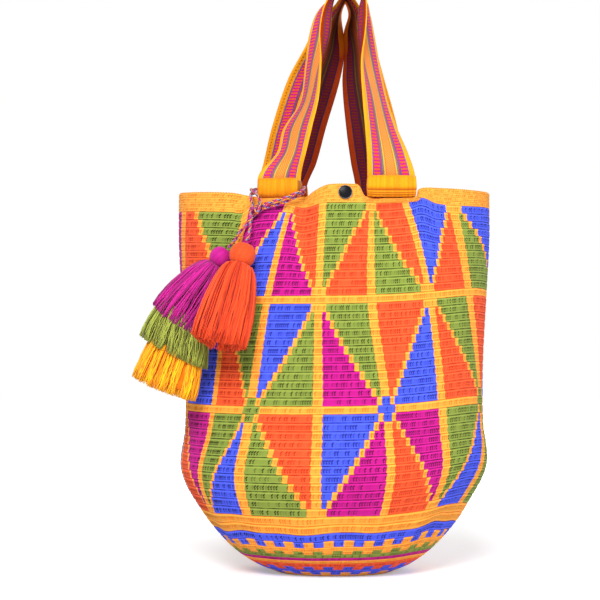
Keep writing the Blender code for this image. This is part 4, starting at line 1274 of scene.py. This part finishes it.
def skirt_points(skirt, share, turn, wide, reach):
    """Points of a skirt at shares of its length, turns about its axis, and shares of its width."""
    ends, axes, halves, swell, flatness = skirt
    _, across, deep = across_axis(axes[0] + (axes[1] - axes[0]) * share[..., None])
    spread = np.sin(np.clip(share, 0, 1) * math.pi / 2) ** swell
    half = (halves[0] + (halves[1] - halves[0]) * spread) * wide
    flat = flatness[0] + (flatness[1] - flatness[0]) * spread
    return (
        ends[0] + (ends[1] - ends[0]) * (share * reach)[..., None] + across * (half * np.cos(turn))[..., None]
        + deep * (half * flat * np.sin(turn))[..., None]
    )


def build_skirt(colour, skirt, strands, seed):
    """Loose threads that spread from a neck to an uneven hem, in clumps, over a core painted dark as shade.
    """
    rng = np.random.default_rng(seed)
    each = (strands, 1)
    share = np.linspace(0, 1, STRAND_STEPS)[None] ** STEP_POWER
    clumps = np.sort(rng.uniform(0, math.tau, CLUMPS))
    turn = rng.uniform(0, math.tau, strands)
    nearest = clumps[np.argmin(np.abs(wrapped(turn[:, None] - clumps[None])), axis=1)]
    pull = wrapped(nearest - turn) * CLUMP_PULL
    wave, second = rng.uniform(0, math.tau, (2, *each))
    bend = rng.normal(0, 0.035, each)
    depth = 1.0 - 0.30 * rng.uniform(0.0, 1.0, each) ** 2.2
    inside = rng.uniform(0.0, 1.0, each) < INNER_SHARE
    depth = np.where(inside, np.sqrt(rng.uniform(0.02, 0.75, each)), depth)
    hem_round = HEM_ROUND * (1 - (depth * np.cos(turn)[:, None]) ** 2)
    reach = 0.958 + rng.normal(0, 0.009, each) + 0.008 * np.sin(turn * 3 + seed)[:, None] + hem_round
    swing = 0.040 * np.sin(share * 6 + wave) + 0.022 * np.sin(share * 14 + second) + bend * share
    angle = turn[:, None] + pull[:, None] * share**0.9 + swing * share**0.5
    wide = depth * (0.975 + 0.018 * np.sin(share * 8 + second) * share)
    paths = skirt_points(skirt, np.broadcast_to(share, angle.shape), angle, wide, reach)
    radii = STRAND_RADIUS * rng.uniform(0.75, 1.25, each) * (1 - 0.45 * share**8)
    points, faces, uvs = tube_mesh(paths, radii, 4)
    # The core under the strands, painted dark as shade by its material
    turn = np.broadcast_to(circle(CORE_SIDES), (CORE_STEPS, CORE_SIDES))
    share = np.broadcast_to((np.linspace(0, 1, CORE_STEPS) ** STEP_POWER)[:, None], turn.shape)
    core = skirt_points(skirt, share, turn, 0.76 + 0.03 * (np.arange(CORE_SIDES) % 2), 0.86)
    start = len(points)
    faces += grid_faces(CORE_STEPS, CORE_SIDES, closed=True, start=start)
    end = [start + k for k in range(CORE_SIDES)]
    faces += [end, [(CORE_STEPS - 1) * CORE_SIDES + k for k in reversed(end)]]
    uvs += grid_uvs(np.arange(CORE_SIDES + 1) / 2 - CORE_SHIFT, np.arange(CORE_STEPS) / CORE_STEPS)
    uvs += [(-CORE_SHIFT, 0.5)] * (2 * CORE_SIDES)
    points = np.concatenate([points, core.reshape(-1, 3)])
    thread = f"{colour}_thread"
    material = strand_material(thread, *LOOSE_COLOURS[colour])
    build_mesh(f"skirt_{colour}", points, faces, uvs, [material], f"{colour}_skirt")


def build_ball(colour, middle, radius, hem):
    """A ball of thread drawn down over a core, with a dimple where the cord leaves it."""
    axis, across, deep = across_axis(np.array(hem - middle))
    turn = circle(BALL_COLUMNS)
    low = math.pi * np.arange(BALL_RINGS + 1)[:, None] / BALL_RINGS
    ridge = 0.00016 * np.abs(np.sin(np.arange(BALL_COLUMNS) * math.pi / 4))
    lobes = 1 - 0.030 * np.abs(np.cos(turn + 0.5)) ** 8
    size = radius * lobes - 0.0001 + ridge * np.sin(low)
    dimple = 0.16 * radius * bell(low, 0.42)
    twisted = turn + 0.35 * low
    grid = (
        np.array(middle) - axis * (np.cos(low) * size - dimple)[..., None]
        + across * (np.sin(low) * size * np.cos(twisted))[..., None]
        + deep * (np.sin(low) * size * np.sin(twisted))[..., None]
    )
    faces = grid_faces(BALL_RINGS + 1, BALL_COLUMNS, closed=True)
    uvs = grid_uvs(np.arange(BALL_COLUMNS + 1) / 4, np.arange(BALL_RINGS + 1) / 8)
    material = thread_material(f"{colour}_wound", *WOUND_COLOURS[colour], 0.1)
    build_mesh(f"ball_{colour}", grid, faces, uvs, [material], f"{colour}_ball")


class CROCHET_OT_tassels(bpy.types.Operator):
    """Build the two tassels: wound balls and skirts of loose thread"""

    bl_idname = "tote.tassels"
    bl_label = "Tassels"

    def execute(self, context):
        strands = context.scene.tote.strands
        for colour, (ball, radius, _) in BALLS.items():
            build_ball(colour, ball, radius, HEMS[colour][0])
        for k, (colour, (ball, radius, swell)) in enumerate(BALLS.items()):
            hem, half = HEMS[colour]
            lean = (hem - ball).normalized()
            ends = np.array((ball + lean * (radius * 0.80), hem))
            skirt = (ends, np.array((lean, lean)), (NECK_RADIUS * 0.9, half), swell, (1.0, SKIRT_FLATNESS))
            build_skirt(colour, skirt, strands, SEED + k)
        for k, (colour, (degrees, neck)) in enumerate(TIERS.items()):
            above, neck_half = hem, half * neck * 0.9
            hem, half = HEMS[colour]
            turned = math.radians(degrees)
            axis = Vector((-math.sin(turned), 0, -math.cos(turned)))
            ends = np.array((above - lean * TIER_TUCK, hem))
            skirt = (ends, np.array((lean, axis)), (neck_half, half), 1.0, (SKIRT_FLATNESS, SKIRT_FLATNESS))
            build_skirt(colour, skirt, strands, SEED + 5 + k)
            lean = axis
        return {"FINISHED"}


class CROCHET_OT_cord(bpy.types.Operator):
    """Braid the cord that hangs the tassels from the end of the front handle"""

    bl_idname = "tote.cord"
    bl_label = "Braided Cord"

    def execute(self, context):
        route = np.array(CORD_ROUTE)
        places = distances(route)
        steps = int(places[-1] / CORD_STEP)
        at = np.linspace(0, places[-1], steps + 1)
        path = through(list(zip(places, route)), at)
        along = unit(np.gradient(path, axis=0))
        one = np.cross(along[0], (0.0, 1.0, 0.0))
        frames = []
        for direction in along:
            one = unit(one - direction * np.dot(one, direction))
            frames.append((one, np.cross(direction, one)))
        frames = np.array(frames)
        count = len(BRAID_COLOURS)
        paths = []
        for k in range(count):
            turn = (1 if k % 2 else -1) * at / CORD_PITCH * math.tau + math.tau * k / count
            off = CORD_RADIUS * 0.56 * (1 + 0.22 * np.sin(at / CORD_PITCH * math.tau * 3 + math.pi * k))
            aside = np.stack([np.cos(turn) * off, np.sin(turn) * off], -1)
            paths.append(path + (frames * aside[..., None]).sum(axis=1))
        radii = np.full((count, steps + 1), CORD_RADIUS * 0.42)
        points, faces, uvs = tube_mesh(np.array(paths), radii, BRAID_SIDES)
        materials = [
            thread_material(f"braid_{k}", colour, shade(colour, 0.3), 0.55, 0.2)
            for k, colour in enumerate(BRAID_COLOURS)
        ]
        numbers = [k for k in range(count) for _ in range(steps * BRAID_SIDES)] + list(range(count)) * 2
        cord = build_mesh("braid", points, faces, uvs, materials, "tassel_cord", numbers)
        return {"FINISHED"}


class CROCHET_OT_badge(bpy.types.Operator):
    """Build the bare round badge with its metal edge, and finish its washer"""

    bl_idname = "tote.badge"
    bl_label = "Badge"

    def execute(self, context):
        z, r = RIM_HEIGHT - BADGE_DROP, BADGE_RADIUS
        left, middle, right = front_points([BADGE_X - r, BADGE_X, BADGE_X + r], z, 0.0, False)
        low, high = (front_points([BADGE_X], z + step, 0.0, False)[0] for step in (-BADGE_DROP, BADGE_DROP))
        facing = Vector(right - left).cross(Vector(high - low)).normalized()
        enamel = Graph("black_enamel", 0.16, gloss=0.06)
        grain = enamel.noise(420.0, 3.0)
        tone = enamel.mix(grain, (0.003, 0.003, 0.004), (0.010, 0.009, 0.012))
        enamel.finish(tone, grain, 0.00005, 0.15, Roughness=grain * 0.16 + 0.10)
        metal = Graph("badge_metal", 0.28, gloss=0.5, metallic=1.0)
        scratch = metal.noise(900.0, 2.0, (1.0, 6.0, 1.0))
        tone = metal.mix(scratch, (0.10, 0.10, 0.11), (0.24, 0.24, 0.26))
        metal.finish(tone, scratch, 0.00003, 0.2, Roughness=scratch * 0.2 + 0.2)
        seat = GAP * 2
        top, back = seat + BADGE_THICK, -(WALL + GAP * 3 + BACKING_THICK)
        profile = [(BADGE_TIP, top - 0.0001)] + [(r * share, top - drop) for share, drop in BADGE_FACE]
        profile += [(r, seat), (POST_RADIUS, seat), (POST_RADIUS, back), (BADGE_TIP, back)]
        turn = circle(BADGE_SIDES)
        level = np.ones(BADGE_SIDES)
        rings = [np.stack([a * np.cos(turn), a * np.sin(turn), h * level], -1) for a, h in profile]
        grid = middle + np.array(rings) @ np.array(facing.to_track_quat("Z", "Y").to_matrix()).T
        faces = grid_faces(len(profile), BADGE_SIDES, closed=True)
        uvs = grid_uvs(np.arange(BADGE_SIDES + 1) / BADGE_SIDES, np.arange(len(profile)) / len(profile))
        numbers = [k // BADGE_SIDES >= ENAMEL_RINGS for k in range(len(faces))]
        pair = [enamel.material, metal.material]
        build_mesh("badge", grid, faces, uvs, pair, "badge_disc", numbers)
        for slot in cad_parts["badge_backing"].material_slots:
            slot.material = metal.material
        return {"FINISHED"}


class CROCHET_OT_stage(bpy.types.Operator):
    """Set the camera, the soft studio lamps and the pale floor"""

    bl_idname = "tote.stage"
    bl_label = "Stage"

    def execute(self, context):
        scene = context.scene
        distance = scene.tote.camera_distance
        scene.view_settings.view_transform = "Standard"

        def place(name, data, location):
            made = bpy.data.objects.new(name, data)
            made.location = location
            scene.collection.objects.link(made)
            return made

        data = bpy.data.cameras.new("camera")
        data.sensor_width = SENSOR
        data.lens = SENSOR * distance / FIELD_OF_VIEW
        scene.camera = place("camera", data, (CAMERA_X, -distance, CAMERA_Z))
        scene.camera.rotation_euler = (math.pi / 2, 0, 0)
        for name, location, watts, size in LAMPS:
            data = bpy.data.lights.new(name, "AREA")
            data.energy = watts
            data.size = size
            aim = Vector(LAMP_TARGET) - Vector(location)
            place(name, data, location).rotation_euler = aim.to_track_quat("-Z", "Y").to_euler()
        scene.world = bpy.data.worlds.new("studio")
        scene.world.use_nodes = True
        sky = Nodes(scene.world.node_tree)
        light = sky.tree.nodes["Background"]
        sky.feed(light, {"Color": (1, 1, 1), "Strength": WORLD_LIGHT})
        shown = sky.node("Background", {"Color": (1, 1, 1)})
        rays = sky.node("LightPath").outputs
        seen = Field(sky, rays["Is Camera Ray"]).maths("MAXIMUM", rays["Is Glossy Ray"])
        blend = sky.node("MixShader", {0: seen, 1: light.outputs[0], 2: shown.outputs[0]})
        sky.feed(sky.tree.nodes["World Output"], {"Surface": blend.outputs[0]})
        graph = Graph("pale_floor", 1.0, gloss=0.0)
        rays = graph.node("LightPath").outputs["Is Camera Ray"]
        here = graph.node("TexCoord").outputs["Object"]
        far = graph.value("VectorMath", {"Vector": here}, "Value", operation="LENGTH")
        glow = graph.mix(((far - 0.25) * 1.3).clamped(), (0.30,) * 3, (0.95,) * 3)
        pale = graph.mix(graph.noise(3.0), (0.84,) * 3, (0.86,) * 3)
        emission = {"Emission Strength": 1.0, "Emission Color": graph.mix(rays, (0, 0, 0), glow)}
        mesh = bpy.data.meshes.new("floor")
        ring = [(FLOOR_RADIUS * math.cos(a), FLOOR_RADIUS * math.sin(a), FLOOR_Z) for a in circle(64)]
        mesh.from_pydata(ring, [], [tuple(range(64))])
        mesh.materials.append(graph.finish(pale, **emission))
        place("floor", mesh, (0, 0, 0))
        return {"FINISHED"}


class CROCHET_PT_panel(bpy.types.Panel):
    """The tote's pieces and settings in the sidebar"""

    bl_idname = "CROCHET_PT_panel"
    bl_label = "Crochet Tote"
    bl_space_type = "VIEW_3D"
    bl_region_type = "UI"
    bl_category = "Tote"

    def draw(self, context):
        for name in ToteSettings.__annotations__:
            self.layout.prop(context.scene.tote, name)
        for piece in PIECES:
            self.layout.operator(piece.bl_idname)


PIECES = (
    CROCHET_OT_stage, CROCHET_OT_cord, CROCHET_OT_wall, CROCHET_OT_base, CROCHET_OT_lining,
    CROCHET_OT_handles, CROCHET_OT_rolls, CROCHET_OT_tassels, CROCHET_OT_badge,
)
CLASSES = (ToteSettings, *PIECES, CROCHET_PT_panel)


def register():
    for one in CLASSES:
        bpy.utils.register_class(one)
    bpy.types.Scene.tote = PointerProperty(type=ToteSettings)


def unregister():
    del bpy.types.Scene.tote
    for one in reversed(CLASSES):
        bpy.utils.unregister_class(one)


def main():
    """Build every piece in order."""
    register()
    for piece in PIECES:
        getattr(bpy.ops.tote, piece.bl_idname.split(".")[1])()


if __name__ == "__main__":
    main()
